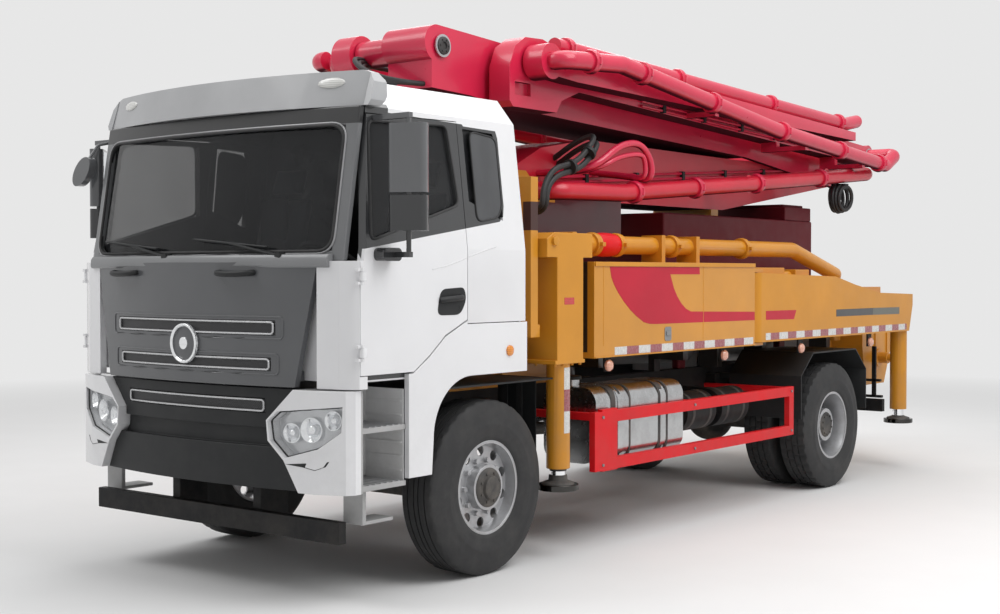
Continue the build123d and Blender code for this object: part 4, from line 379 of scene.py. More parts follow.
# ---- pieces ------------------------------------------------------------------------------
class Shape:
    """A piece put together from closed forms in one mesh. Side -1 mirrors the X of all but Vectors."""

    def __init__(self, side=1):
        self.mesh = bmesh.new()
        self.side = side

    def at(self, place):
        return place if isinstance(place, Vector) else at(self.side * place[0], *place[1:])

    def span(self, xs):
        return sorted(self.side * x for x in xs)

    def skin(self, rings, closed=False):
        """Skins equal rings of points, with the first and last ring capped or joined."""
        made = [[self.mesh.verts.new(self.at(p)) for p in ring] for ring in rings]
        count = len(rings[0])
        for a, b in zip(made, made[1:] + (made[:1] if closed else [])):
            for i in range(count):
                j = (i + 1) % count
                self.mesh.faces.new((a[i], a[j], b[j], b[i]))
        if not closed:
            self.mesh.faces.new(made[0][::-1])
            self.mesh.faces.new(made[-1])
        return self

    def box(self, x, station, z):
        (x0, x1), (s0, s1) = self.span(x), station
        return self.skin([[at(*corner, c) for corner in ((x0, s0), (x1, s0), (x1, s1), (x0, s1))]
                          for c in sorted(z)])

    def plate(self, points, x):
        """Outline of (station, z) corners between two X values."""
        return self.skin([[at(value, s, z) for s, z in points] for value in self.span(x)])

    def slab(self, points, station):
        """Outline of (x, z) corners between two stations."""
        return self.skin([[(x, value, z) for x, z in points] for value in sorted(station)])

    def turned(self, profile, centre, axis=OUT, sides=48):
        """Solid of revolution from (distance along the axis, radius) pairs."""
        turn = Vector((self.side * axis[0], *axis[1:])).to_track_quat("Z", "Y")
        return self.skin([[self.at(centre) + turn @ Vector((u, v, along)) for u, v in circle(r, sides)]
                          for along, r in profile])

    def rod(self, start, end, radius, sides=24):
        start, end = self.at(start), self.at(end)
        turn = (end - start).normalized().to_track_quat("Z", "Y")
        return self.skin([[centre + turn @ Vector((u, v, 0)) for u, v in circle(radius, sides)]
                          for centre in (start, end)])

    def ring(self, profile, centre, axis=OUT, sides=48):
        """Closed ring from a closed loop of (distance along the axis, radius) pairs."""
        turn = Vector((self.side * axis[0], *axis[1:])).to_track_quat("Z", "Y")
        return self.skin([[self.at(centre) + turn @ Vector((u * r, v * r, along)) for along, r in profile]
                          for u, v in circle(1, sides)], closed=True)

    def tube(self, points, radius, sides=12, smooth=0):
        """Round tube along points, their corners eased by repeated cutting."""
        path = [self.at(p) for p in points]
        for _ in range(smooth):
            cut = [a.lerp(b, t) for a, b in zip(path, path[1:]) for t in (0.25, 0.75)]
            path = path[:1] + cut + path[-1:]
        rings = []
        side = None
        for before, p, after in zip(path[:1] + path, path, path[1:] + path[-1:]):
            ahead = (after - before).normalized()
            side = side or ahead.orthogonal()
            side = (side - ahead * side.dot(ahead)).normalized()
            up = ahead.cross(side)
            rings.append([p + side * u + up * v for u, v in circle(radius, sides)])
        return self.skin(rings)

    def bead(self, points, radius, sides=8):
        """Thin bead along a closed line."""
        path = [self.at(p) for p in points]
        loops = []
        for before, p, after in zip(path[-1:] + path, path, path[1:] + path[:1]):
            ahead = (after - before).normalized()
            out = ahead.cross(Vector(UP if abs(ahead.z) < 0.9 else BACK)).normalized()
            up = out.cross(ahead)
            loops.append([self.mesh.verts.new(p + out * u + up * v) for u, v in circle(radius, sides)])
        # Each ring is joined from its point nearest to the start of the one before it.
        for a, b in zip(loops, loops[1:] + loops[:1]):
            start = min(range(sides), key=lambda k: (b[k].co - a[0].co).length)
            for i in range(sides):
                j = (i + 1) % sides
                self.mesh.faces.new((a[i], a[j], b[(j + start) % sides], b[(i + start) % sides]))
        return self

    def bolts(self, places, direction, radius=0.011, height=0.009):
        """Six-sided bolt heads standing along a direction."""
        for place in places:
            foot = self.at(place)
            self.rod(foot, foot + Vector((self.side * direction[0], *direction[1:])) * height, radius, 6)
        return self

    def finish(self, name, tone, bevel=0, body="chassis", angle=35, replaces=()):
        """Makes the object. A star in a name stands for the side."""
        bmesh.ops.recalc_face_normals(self.mesh, faces=self.mesh.faces)
        name, body, *replaces = (text.replace("*", SIDES[self.side]) for text in (name, body, *replaces))
        return dressed(name, self.mesh, tone, body, bevel, replaces, angle)


def dressed(name, mesh, tone, body, bevel=0.0, replaces=(), angle=35, segments=2):
    """Object from a mesh, with eased edges, its material, its body and what it stands for."""
    data = bpy.data.meshes.new(name)
    mesh.to_mesh(data)
    mesh.free()
    data.materials.append(MAT[tone])
    obj = bpy.data.objects.new(name, data)
    bpy.context.scene.collection.objects.link(obj)
    data.polygons.foreach_set("use_smooth", [True] * len(data.polygons))
    data.set_sharp_from_angle(angle=math.radians(angle))
    if bevel:
        ease = obj.modifiers.new("edges", "BEVEL")
        ease.width = bevel
        ease.segments = segments
        ease.limit_method = "ANGLE"
        ease.angle_limit = math.radians(angle)
        ease.harden_normals = True
    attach(obj, body)
    if replaces:
        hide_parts(*replaces)
    return obj


def listed(names):
    """Names in a text, where a star stands for left and right."""
    return [name.replace("*", side) for name in names.split()
            for side in list(SIDES.values())[:1 + ("*" in name)]]


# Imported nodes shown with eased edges, by bevel width.
EASED = {
    0.024: "sun_visor", 0.022: "mirror_*", 0.018: "air_tanks", 0.016: "bumper",
    0.015: "engine_block dashboard water_tank", 0.012: "cab_shell front_panel",
    0.01: "windshield_frame underrun_bars deck",
    0.008: "front_axle rear_axle side_guards boom_1 boom_2 boom_3 boom_4 boom_5 outrigger_beam_* "
           "outrigger_arm_*",
    0.006: "door_* pedestal pump_unit turret", 0.005: "lift_barrel jack_front_* jack_rear_*",
    0.004: "cab_steps fuel_tank hopper delivery_pipe lift_rod knuckle_*",
    0.003: "lower_panels mudguards chassis_frame rim_front_* rim_rear_*", 0.002: "hopper_grate",
    0.0: "cab_glass door_glass_* grille_mesh",
}
TONE_OF = {node: tone for tone, names in {
    "cab_two_tone": "cab_shell door_*", "screen_frame": "windshield_frame", "deck_tone": "deck",
    "turret_tone": "turret", "low_boom_red": "boom_1", "pedestal_tone": "pedestal",
    "jack": "jack_front_* jack_rear_*", "mirror_shell": "mirror_*", "step_grey": "cab_steps",
}.items() for node in listed(names)}
MERGE, FLAT = 0.00002, math.radians(0.6)  # corners this near are one, faces this level are one

for width, names in EASED.items():
    for node in listed(names):
        mesh = bmesh.new()
        mesh.from_mesh(frame["nodes"][node].data)
        bmesh.ops.remove_doubles(mesh, verts=mesh.verts, dist=MERGE)
        bmesh.ops.dissolve_limit(mesh, angle_limit=FLAT, verts=mesh.verts, edges=mesh.edges)
        # The visor's gentler edges are rounded too.
        angle, segments = (22, 4) if node == "sun_visor" else (35, 2)
        slot = SLOT_OF[node]
        dressed(f"{node}_skin", mesh, TONE_OF.get(node, slot), BODY_OF[node], width, [node], angle,
                segments)

# ---- wheels ------------------------------------------------------------------------------
TYRE_STEPS = 144
TYRE_RADIUS = WHEEL_Z = 0.54
REAR_AXLE = 4.7
# Rib edges of a tread: distance from the middle, and whether the stretch is groove.
FRONT_RIBS = ((0.105, 0), (0.069, 0), (0.0685, 1), (0.0605, 1), (0.06, 0), (0.022, 0), (0.0215, 1),
              (0.0135, 1), (0.013, 0))
REAR_RIBS = ((0.108, 0), (0.06, 0), (0.0595, 1), (0.0485, 1), (0.048, 0), (0.006, 0), (0.0055, 1))
SIDEWALL = ((0.119, 0.288), (0.127, 0.3), (0.133, 0.312), (0.134, 0.33), (0.14, 0.352),
            (0.1445, 0.385), (0.1445, 0.398), (0.1425, 0.404), (0.1425, 0.44), (0.139, 0.463),
            (0.134, 0.48), (0.13, 0.498), (0.122, 0.517), (0.115, 0.53))
RIM_HALF = [(0.04, 0.262), (0.098, 0.27), (0.098, 0.287), (0.106, 0.293), (0.11, 0.3), (0.118, 0.297),
            (0.122, 0.284), (0.116, 0.272), (0.05, 0.25)]
FRONT_HUB = ((-0.04, 0.125), (0.0, 0.122), (0.012, 0.108), (0.016, 0.075), (0.034, 0.07), (0.04, 0.058),
             (0.041, 0.012))
REAR_HUB = ((-0.1, 0.112), (0.0, 0.11), (0.012, 0.098), (0.015, 0.02))


def tyre_loop(ribs, turn, blocks):
    """Closed section of the tyre at one step round, from bead over the tread to bead."""
    loop = []
    for side in (-1, 1):
        notch = (turn + side + 1) % 4 == 0
        half = [(side * x, r) for x, r in SIDEWALL]
        for x, groove in ribs:
            depth = 0.013 if groove else 0.012 if blocks and notch else 0.005 if notch and x > 0.1 else 0.0
            half.append((side * x, TYRE_RADIUS - 0.004 * (x / 0.145) ** 2 - depth))
        loop += half[::side * -1]
    return loop


for side in SIDES:
    for end, station, centres, ribs, hub, face, count, reach, lift in (
            ("front", 0, (1.035,), FRONT_RIBS, FRONT_HUB, 1.157, 8, 0.092, 0.012),
            ("rear", REAR_AXLE, (1.095, 0.76), REAR_RIBS, REAR_HUB, 1.155, 10, 0.085, 0.011)):
        body = f"wheel_{end}_*"
        tyre, lips = Shape(side), Shape(side)
        for centre in centres:
            tyre.skin([[at(side * centre + x, station + u * r, WHEEL_Z + v * r)
                        for x, r in tyre_loop(ribs, turn, end == "rear")]
                       for turn, (u, v) in enumerate(circle(1, TYRE_STEPS))], closed=True)
            lips.ring([(-x, r) for x, r in RIM_HALF[::-1]] + RIM_HALF, (centre, station, WHEEL_Z), sides=72)
        tyre.finish(f"tyre_{end}_*_tread", "tyre", body=body, angle=30, replaces=[f"tyre_{end}_*"])
        lips.finish(f"rim_lip_{end}_*", "rim_silver", body=body, angle=40)
        # Dark hub with its ring of cover bolts.
        cover = Shape(side).turned(hub, (face, station, WHEEL_Z), sides=40)
        cover.bolts([(face + lift, station + u, WHEEL_Z + v) for u, v in circle(reach, count, 0.5)],
                    OUT, 0.009, 0.01)
        cover.finish(f"hub_cover_{end}_*", "iron", 0.002, body)


# ---- cab ---------------------------------------------------------------------------------
def bow_at(x, half, station, bow):
    """Station of a wall bowed forward in plan."""
    radius = (half**2 + bow**2) / (2 * bow)
    return station - bow + radius - math.sqrt(radius**2 - x**2)


def screen(x, z, proud=0.0):
    """Point on the front of the windshield frame."""
    return at(x, bow_at(x, 1.125, -1.235, 0.11) + 0.14 * (z - 1.925) / 0.865 - proud, z)


def visor(x, z, proud=0.0):
    """Point on the front of the sun visor."""
    return at(x, bow_at(x, 1.18, -1.05, 0.195) + 0.06 * (z - 2.79) / 0.205 - proud, z)


def hood(x, z, proud=0.0):
    return at(x, bow_at(x, 0.97, -1.29, 0.11) - proud, z)


def cab_side(z, proud):
    """Outer X of the cab's side at a height."""
    return 1.22 - max(0.0, 0.095 * (z - 2.0) / 0.79) + proud


def around(value, half):
    return value - half, value + half


def rounded(points, radius, steps=5):
    """Closed outline with its corners rounded, as a list of 2-D points."""
    points = [Vector(p) for p in points]
    out = []
    for before, p, after in zip(points[-1:] + points, points, points[1:] + points[:1]):
        reach = min(radius, (before - p).length * 0.45, (after - p).length * 0.45)
        a, b = (p + (end - p).normalized() * reach for end in (before, after))
        out += [a.lerp(p, k / steps).lerp(p.lerp(b, k / steps), k / steps) for k in range(steps + 1)]
    return out


def panel(x0, x1, z0, z1, radius, steps=5):
    """Rounded rectangle as a list of 2-D points."""
    return rounded([(x0, z0), (x1, z0), (x1, z1), (x0, z1)], radius, steps)


def spaced(corners, share=5):
    """The same closed outline with its long sides cut into shorter runs."""
    return [a.lerp(b, t / share) for a, b in zip(corners, corners[1:] + corners[:1]) if (b - a).length > 1e-5
            for t in range(share)]


def front_bead(name, tone, radius, half, low, high, corner, surface):
    """Bead along a rounded rectangle laid on one of the bowed front surfaces."""
    flat = panel(-half, half, low, high, corner, 6)
    line = [surface(*a.lerp(b, t / 6)) for a, b in zip(flat, flat[1:] + flat[:1]) for t in range(6)]
    Shape().bead(line, radius).finish(name, tone)


front_bead("windshield_seal", "rubber", 0.009, 1.045, 1.98, 2.685, 0.1, lambda x, z: screen(x, z, 0.003))
front_bead("windshield_seal_bead", "bead_grey", 0.0055, 1.058, 1.967, 2.698, 0.11,
           lambda x, z: screen(x, z, 0.002))

# Corners of the windshield opening rounded off by small black fillets.
fillets = Shape()
for side in SIDES:
    for z, up in ((1.985, 1), (2.68, -1)):
        arc = [(1.04, z)] + [(0.93 + v, z + up * (0.11 - u)) for u, v in [(0.11, 0)] + circle(0.11, 24)[:7]]
        fillets.skin([[screen(side * x, h, proud) for x, h in arc] for proud in (-0.002, -0.014)])
fillets.finish("windshield_corners", "plastic_black")

# Wipers: arm from its spindle, and a blade in a carrier lying along the glass.
wipers = Shape()
for x in (0.72, -0.22):
    foot, elbow = screen(x, 1.955, 0.02), screen(x - 0.385, 2.03, 0.035)
    wipers.rod(screen(x, 1.955, -0.01), screen(x, 1.955, 0.05), 0.022, 20)
    wipers.tube([screen(x, 1.955, 0.035), foot.lerp(elbow, 0.5) + Vector((0, -0.012, 0)), elbow], 0.009, 8, 2)
    for radius, proud, lift in ((0.008, 0.018, 0), (0.005, 0.032, 0.002)):
        wipers.tube([screen(x - 0.7 * t, 1.995 + 0.06 * t, proud) + Vector((0, 0, lift))
                     for t in (0.15, 0.4, 0.7, 1.0)], radius, 6, 1)
wipers.finish("wipers", "plastic_black")

# Cowl lip under the windshield, with two grab handles below it.
Shape().skin([[at(x, bow_at(x, 1.125, -1.262, 0.112) + s, z) for s, z in (
    (0.03, 1.893), (-0.012, 1.888), (-0.022, 1.9), (-0.02, 1.942), (-0.005, 1.962), (0.03, 1.965))]
    for x in (1.06 * k / 12 for k in range(-12, 13))]).finish("cowl_lip", "cowl_grey", 0.003)
grabs = Shape()
for x in (0.42, -0.62):
    grabs.tube([hood(x + d, z, proud) for d, z, proud in (
        (-0.13, 1.862, -0.002), (-0.125, 1.858, 0.04), (0.0, 1.852, 0.055), (0.125, 1.858, 0.04),
        (0.13, 1.862, -0.002))], 0.017, 12, 2)
grabs.finish("front_grab_handles", "plastic_black")

# Grille: chrome frames round the mesh slots, dark surrounds, a plain round boss.
for index, half, low, high in ((1, 0.7, 1.509, 1.591), (2, 0.67, 1.308, 1.382)):
    front_bead(f"grille_frame_{index}", "bead_light", 0.006, half - 0.012, low + 0.008, high - 0.008, 0.02,
               lambda x, z: hood(x, z, 0.003))
    front_bead(f"grille_crease_{index}", "cab_dark", 0.006, half + 0.055, low - 0.02, high + 0.022, 0.03,
               hood)
front_bead("grille_frame_3", "bead_light", 0.006, 0.6, 1.079, 1.141, 0.02,
           lambda x, z: at(x, bow_at(x, 0.86, -1.29, 0.09) - 0.002, z))
Shape().skin([[at(x, bow_at(x, 0.615, -1.322, 0.038) - proud, z) for proud, z in (
    (0.004, 1.074), (0.001, 1.074), (0.001, 1.146), (0.004, 1.146))]
    for x in (0.606 * k / 12 for k in range(-12, 13))]).finish("grille_mesh_3", "mesh_black")
BOSS = hood(0, 1.448, -0.008)
boss = Shape().ring([(0.0, 0.112), (0.018, 0.12), (0.032, 0.116), (0.036, 0.106), (0.028, 0.098),
                     (0.0, 0.096)], BOSS, FORWARD)
boss.turned([(0.0, 0.04), (0.03, 0.036), (0.038, 0.02), (0.039, 0.002)], BOSS, FORWARD, 32)
boss.finish("grille_boss", "chrome", 0.001)

# Headlamps: a slanted clear lens over a dark bowl with three reflectors.
LAMP_TOP = ((0.68, 1.032), (0.745, 1.084), (1.148, 1.124))
LAMP_LOW = ((0.68, 1.032), (0.695, 0.925), (0.795, 0.833), (1.01, 0.892), (1.14, 0.985), (1.148, 1.124))
LAMP_PLAN = ((0.665, -1.352), (1.0, -1.305), (1.155, -1.245))
CORNER_PLAN = ((0.664, -1.384), (1.0, -1.33), (1.17, -1.262), (1.2, -1.215))


def along(x, points):
    """Second value of a chain of points at a value of the first."""
    for (a, u), (b, v) in zip(points, points[1:]):
        if x <= b:
            break
    return u + (v - u) * (x - a) / (b - a)


def lamp_shell(shape, inset, front, back):
    """Skins the lamp's slanted outline from a depth behind its front line to a back found from that line."""
    edges = sorted({x for x, _ in LAMP_TOP + LAMP_LOW + LAMP_PLAN if 0.68 <= x <= 1.148}
                   | {0.68 + 0.468 * k / 20 for k in range(1, 20)})
    rings = []
    for x in edges:
        x = min(max(x, 0.684 + inset), 1.144 - inset)
        low, high = along(x, LAMP_LOW) + inset, along(x, LAMP_TOP) - inset
        middle, s = (low + high) / 2, along(x, LAMP_PLAN)
        low, high = min(low, middle - 0.002), max(high, middle + 0.002)
        if not rings or math.dist(rings[-1][0], (x, s + front, low)) > 0.001:
            rings.append([(x, s + front, low), (x, back(s), low), (x, back(s), high), (x, s + front, high)])
    shape.skin(rings)


bowls, reflectors, covers = Shape(), Shape(), Shape()
for side in SIDES:
    bowls.side = reflectors.side = covers.side = side
    lamp_shell(bowls, 0.004, 0.052, lambda s: -1.181)
    lamp_shell(covers, 0.001, 0.001, lambda s: min(s + 0.004, -1.1805))
    for x, z, r in ((0.8, 0.965, 0.056), (0.935, 0.988, 0.07), (1.07, 1.045, 0.054)):
        for profile, sides in (
                ([(-0.045, r * 0.4), (0.0, r), (0.008, r), (0.008, r * 0.93), (-0.03, r * 0.35),
                  (-0.03, 0.001)], 32),
                ([(-0.03, r * 0.3), (0.004, r * 0.32), (0.01, r * 0.2), (0.012, 0.002)], 24)):
            reflectors.turned(profile, (x, along(x, LAMP_PLAN) + 0.026, z), (0.25, -1, 0), sides)
    edge = spaced(rounded(LAMP_TOP + LAMP_LOW[-2:0:-1], 0.012, 3), 4)
    Shape(side).bead([(x, along(min(max(x, 0.68), 1.148), LAMP_PLAN) - 0.001, z) for x, z in edge],
                     0.0045).finish("headlamp_bead_*", "rubber")
    Shape(side).skin([[(x, along(x, CORNER_PLAN) - proud, z) for x, z in (
        (0.8, 0.796), (0.93, 0.808), (1.08, 0.824), (1.06, 0.795), (1.0, 0.772), (0.92, 0.786))]
        for proud in (-0.001, 0.0015)]).finish("fog_slit_*", "plastic_black")
bowls.finish("headlamp_bowls", "lamp_shell", 0.002)
reflectors.finish("headlamp_reflectors", "chrome")
covers.finish("headlamp_lenses", "lamp_glass", replaces=["headlamps"])

MIRROR_TURN = {1: 25, -1: -45}  # how far each side's mirrors look out, in degrees
MIRROR_HEADS = ((2.09, 2.285), (2.3, 2.68))
for side in SIDES:
    handle = Shape(side).plate(rounded([(-0.56, 1.612), (-0.345, 1.612), (-0.292, 1.7), (-0.31, 1.775),
                                        (-0.524, 1.765)], 0.05), (1.219, 1.2225))
    handle.tube([(1.222, -0.535, 1.7), (1.24, -0.5, 1.704), (1.24, -0.37, 1.712),
                 (1.222, -0.33, 1.715)], 0.018, 10, 2)
    handle.rod((1.222, -0.352, 1.655), (1.2245, -0.352, 1.655), 0.011, 16)
    handle.finish("door_handle_*", "plastic_black", 0.002, "door_*")
    # Crease behind the handle, on the door and on the wall.
    for part, line, body in (
            ("door", [(1.2195, -0.6, 1.88), (1.2205, -0.45, 1.905), (1.2205, -0.29, 1.95)], "door_*"),
            ("cab", [(1.2205, -0.265, 1.957), (1.2205, -0.1, 2.0), (1.2195, 0.0, 2.022)], "chassis")):
        Shape(side).tube(line, 0.0035, 6, 2).finish(f"{part}_crease_*", "cab_white", body=body)
    # Printed edge of the rear quarter pane, and rubber beads round both side windows.
    quarter = rounded([(-0.165, 2.165), (0.04, 2.198), (0.088, 2.27), (0.088, 2.69), (-0.165, 2.715)], 0.06)
    window = rounded([(-1.108, 2.036), (-1.046, 2.708), (-0.377, 2.733), (-0.326, 2.262)], 0.05)
    Shape(side).skin([[(cab_side(z, proud), s, z) for s, z in quarter] for proud in (-0.001, 0.0025)]).finish(
        "quarter_pane_*", "pane_print", angle=60)
    for part, line, radius, proud, body in (("quarter", quarter, 0.006, 0.002, "chassis"),
                                            ("door_window", window, 0.008, 0.001, "door_*")):
        Shape(side).bead([(cab_side(z, proud), s, z) for s, z in spaced(line)], radius).finish(
            f"{part}_bead_*", "rubber", body=body)
    # Mirror glass let into the rear of each turned head, and of the right side's front mirror.
    panes = Shape(side)
    turn = Matrix.Rotation(math.radians(MIRROR_TURN[side]), 3, "Z")
    for low, high in MIRROR_HEADS:
        panes.skin([[at(side * 1.39, -0.99, 0) + turn @ Vector((x, depth, z))
                     for x, z in panel(-0.076, 0.076, low + 0.016, high - 0.016, 0.03)]
                    for depth in (0.0445, 0.0475)])
    if side < 0:
        lean = Matrix.Rotation(math.radians(-45), 2)
        panes.slab([Vector((1.29, 2.52)) + lean @ Vector(p) for p in circle(0.103, 36, high=0.054)],
                   (-1.1505, -1.147))
    panes.finish("mirror_glass_*", "mirror_glass", body="door_*")

# Lamps on the visor's brow, and the roof bracket.
marks = Shape()
for side in SIDES:
    marks.skin([[visor(side * 0.9 + u * share, 2.928 + v * share, proud)
                 for u, v in circle(0.085, 32, high=0.03)]
                for share, proud in ((1.0, -0.004), (1.0, 0.003), (0.9, 0.008), (0.55, 0.011))])
marks.finish("visor_lamps", "white_lens", angle=60)
bracket = Shape().tube([(0.8, -0.7, 2.985), (0.8, -0.66, 3.05), (0.62, -0.6, 3.06), (0.62, -0.55, 2.985)],
                       0.014, 10, 1)
bracket.box((0.56, 0.86), (-0.72, -0.5), (2.979, 2.99)).finish("roof_bracket", "black_steel", 0.002)

# ---- deck and chassis --------------------------------------------------------------------
DECK_FACE, ARM_FACE = 1.25, 1.245
SWOOSH = [(1.188, 1.903), (2.371, 1.903), (2.377, 1.85), (1.963, 1.85), (2.013, 1.75), (2.06, 1.69),
          (2.115, 1.64), (2.18, 1.6), (2.251, 1.578), (3.222, 1.556), (3.222, 1.49), (1.785, 1.499),
          (1.69, 1.502), (1.611, 1.517), (1.52, 1.56), (1.442, 1.605), (1.36, 1.664), (1.292, 1.724),
          (1.24, 1.78), (1.208, 1.83)]
# Lines on the panels: outline by station and height, and how far out the panel is.
for name, tone, body, face, line in (
        ("deck_swoosh_*", "stripe_red", "chassis", DECK_FACE, SWOOSH),
        ("arm_line_red_*", "stripe_red", "outrigger_arm_*", ARM_FACE,
         [(3.42, 1.558), (3.948, 1.555), (3.906, 1.48), (3.42, 1.487)]),
        ("arm_line_black_*", "stripe_black", "outrigger_arm_*", ARM_FACE,
         [(4.705, 1.483), (5.465, 1.481), (5.465, 1.543), (4.705, 1.544)]),
        ("arm_line_grey_*", "stripe_grey", "outrigger_arm_*", ARM_FACE,
         [(5.467, 1.481), (6.066, 1.476), (6.066, 1.54), (5.467, 1.543)])):
    for side in SIDES:
        Shape(side).plate(line, (face - 0.0005, face + 0.0012)).finish(name, tone, body=body)

PIPE_X, PIPE_Z = 0.92, 2.06  # of the deck pipe's straight run
LEG_X, LEG_S = 1.15, 0.735
LEG_RADIUS = 0.0788  # with the tape on it
wrap = [(LEG_X + u * r, LEG_S + v * r) for r, way in ((LEG_RADIUS, 1), (LEG_RADIUS * 0.97, -1))
        for u, v in circle(1, 45, -3)[:7][::way]]
for side in SIDES:
    Shape(side).skin([[(x, s, z) for x, s in wrap] for z in (0.815, 1.244)]).finish(
        "leg_tape_*", "leg_tape", body="outrigger_beam_*")
    # Flange bolts under the leg housing, and a pin through the top box.
    bolts = Shape(side).bolts([(LEG_X + x, LEG_S + s, 1.27) for x in (-0.075, 0.075)
                               for s in (-0.14, -0.05, 0.05, 0.14)], DOWN, 0.012, 0.014)
    bolts.turned([(0, 0.03), (0.02, 0.03), (0.022, 0.02), (0.022, 0.001)], (1.249, 0.555, 2.065), sides=24)
    bolts.finish("leg_bolts_*", "yellow", 0.0015, "outrigger_beam_*")
    latch = Shape(side).plate(panel(1.887, 1.977, 1.375, 1.475, 0.02), (DECK_FACE, DECK_FACE + 0.004))
    latch.box((DECK_FACE, DECK_FACE + 0.012), (1.902, 1.962), (1.413, 1.443))
    latch.finish("deck_latches_*", "steel_grey", 0.002)
    Shape(side).bolts([(1.24, s, z) for s in (1.125, 2.33, 3.88) for z in (0.565, 0.888)], OUT, 0.011,
                      0.008).finish("guard_bolts_*", "steel_grey")
    # Covers on the rear deck box with the pipe to its valve, and the rear lamps.
    tops = Shape(side).box((0.86, 1.06), (3.56, 4.1), (1.728, 1.905))
    tops.box((0.84, 1.08), (3.54, 4.62), (1.728, 1.742)).rod((0.96, 4.1, 1.83), (0.96, 4.34, 1.83), 0.05)
    tops.finish("deck_covers_*", "yellow", 0.006)
    for index, (x, tone) in enumerate(((0.69, "white_lens"), (0.8, "amber"), (0.91, "red_lens")), 1):
        Shape(side).slab(panel(x - 0.042, x + 0.042, 0.545, 0.615, 0.012), (6.371, 6.386)).finish(
            f"tail_lamp_*_{index}", tone, 0.003)

# Pieces made of boxes alone, on both sides where the name has a star: finish, bevel and body, then the X,
# stations and heights of each box.
BOXED = [
    # Lining of the step wells, paler than the step grey as painted light in the wells, ribbed lengthways, and
    # treads on the steps.
    ("step_well_*", "well_grey", 0.002, "chassis", ((0.887, 1.182), (-0.811, -0.803), (0.655, 1.2)),
     *[((0.9, 1.17), (-0.816, -0.81), around(z, 0.006)) for z in (0.735, 0.815, 0.895, 1.05, 1.13)],
     *[((0.8855, 0.892), (-1.165, -0.803), heights) for heights in ((0.685, 0.968), (1.003, 1.205))]),
    ("step_treads_*", "rim_silver", 0.001, "chassis", *[
        ((0.9, 1.185), around(-1.135 + 0.048 * k, 0.008), (top - 0.001, top + 0.004))
        for top in (0.6805, 1.0005) for k in range(7)]),
    # Tape along the lower edges, rails and panel lines of the deck, a reflector on the leg.
    ("deck_tape_*", "tape", 0, "chassis",
     ((DECK_FACE - 0.0005, DECK_FACE + 0.001), (1.25, 3.2), (1.302, 1.357))),
    ("arm_tape_*", "tape", 0, "outrigger_arm_*",
     ((ARM_FACE - 0.0005, ARM_FACE + 0.001), (3.42, 6.24), (1.325, 1.38))),
    ("deck_edging_*", "yellow", 0.002, "chassis", *[
        ((DECK_FACE - 0.001, DECK_FACE + proud), stations, heights) for stations, heights, proud in (
            (around(1.115, 0.003), (1.37, 1.925), 0.002), (around(2.43, 0.003), (1.37, 1.925), 0.002),
            ((1.01, 3.22), (1.905, 1.934), 0.01), ((1.01, 3.22), (1.291, 1.3), 0.008))]),
    ("leg_reflector_*", "red_lens", 0.001, "outrigger_beam_*",
     ((1.2495, 1.2515), (0.665, 0.775), (1.655, 1.7))),
    # Side guard's front plate, mudflap ribs, and what stands at the rear.
    ("guard_plate_*", "guard_red", 0.003, "chassis", ((1.2, 1.2385), (1.12, 1.305), (0.52, 0.94))),
    ("flap_ribs_*", "rubber", 0.002, "chassis",
     *[((x, x + 0.05), (0.632, 0.638), (0.34, 1.15)) for x in (0.76, 0.88)]),
    ("deck_valve_*", "yellow", 0.008, "chassis", ((0.88, 1.04), (4.34, 4.6), (1.743, 1.89))),
    ("rear_steps_*", "black_steel", 0.002, "chassis", ((0.87, 0.91), (6.3, 6.325), (0.66, 1.15)),
     ((0.73, 0.954), (6.3, 6.345), around(0.82, 0.012)), ((0.69, 0.97), (6.3, 6.345), around(0.665, 0.012))),
    ("tail_lamp_housing_*", "plastic_black", 0.004, "chassis",
     ((0.64, 0.96), (6.358, 6.372), (0.535, 0.625))),
    ("plate_blank", "cab_white", 0.002, "chassis", ((-0.26, 0.26), (6.36, 6.366), (0.5, 0.64))),
    # Bracket of the coiled hose, and the flat box on the water tank's top.
    ("boom_hose_bracket", "black_steel", 0.004, "boom_1", ((0.625, 0.77), (5.895, 5.975), (2.655, 2.712)),
     ((0.69, 0.71), (5.915, 5.955), (2.56, 2.66))),
    ("tank_top_box", "maroon", 0.01, "chassis", ((-0.495, 0.495), (5.205, 5.735), (2.349, 2.475)),
     ((-0.44, 0.44), (5.26, 5.68), (2.474, 2.5))),
]
# The same for turned pieces: centre, axis and sides, then the profile.
TURNED = [
    ("side_repeater_*", "amber", 0, "chassis", (1.2185, 0.13, 1.38), OUT, 28,
     [(0, 0.034), (0.01, 0.032), (0.017, 0.018), (0.018, 0.002)]),
    ("grille_boss_face", "cab_dark", 0.001, "chassis", BOSS, FORWARD, 48,
     [(0, 0.097), (0.016, 0.097), (0.022, 0.06), (0.02, 0.002)]),
    ("foot_collar_rear_*", "iron", 0.002, "jack_rear_*", (1.145, 6.29, 0.468), UP, 32,
     [(0, 0.11), (0.012, 0.104), (0.026, 0.06), (0.031, 0.056)]),
    ("fuel_cap", "plastic_black", 0.002, "chassis", (0.9, 1.25, 1.122), UP, 32,
     [(0, 0.062), (0.02, 0.062), (0.028, 0.056), (0.03, 0.002)]),
    ("deck_pipe_ball", "guard_red", 0, "chassis", (PIPE_X, 1.6, PIPE_Z), BACK, 40,
     [(-0.13, 0.07), (-0.12, 0.076), (-0.06, 0.084), (0, 0.086), (0.06, 0.084), (0.12, 0.076), (0.13, 0.07)]),
]
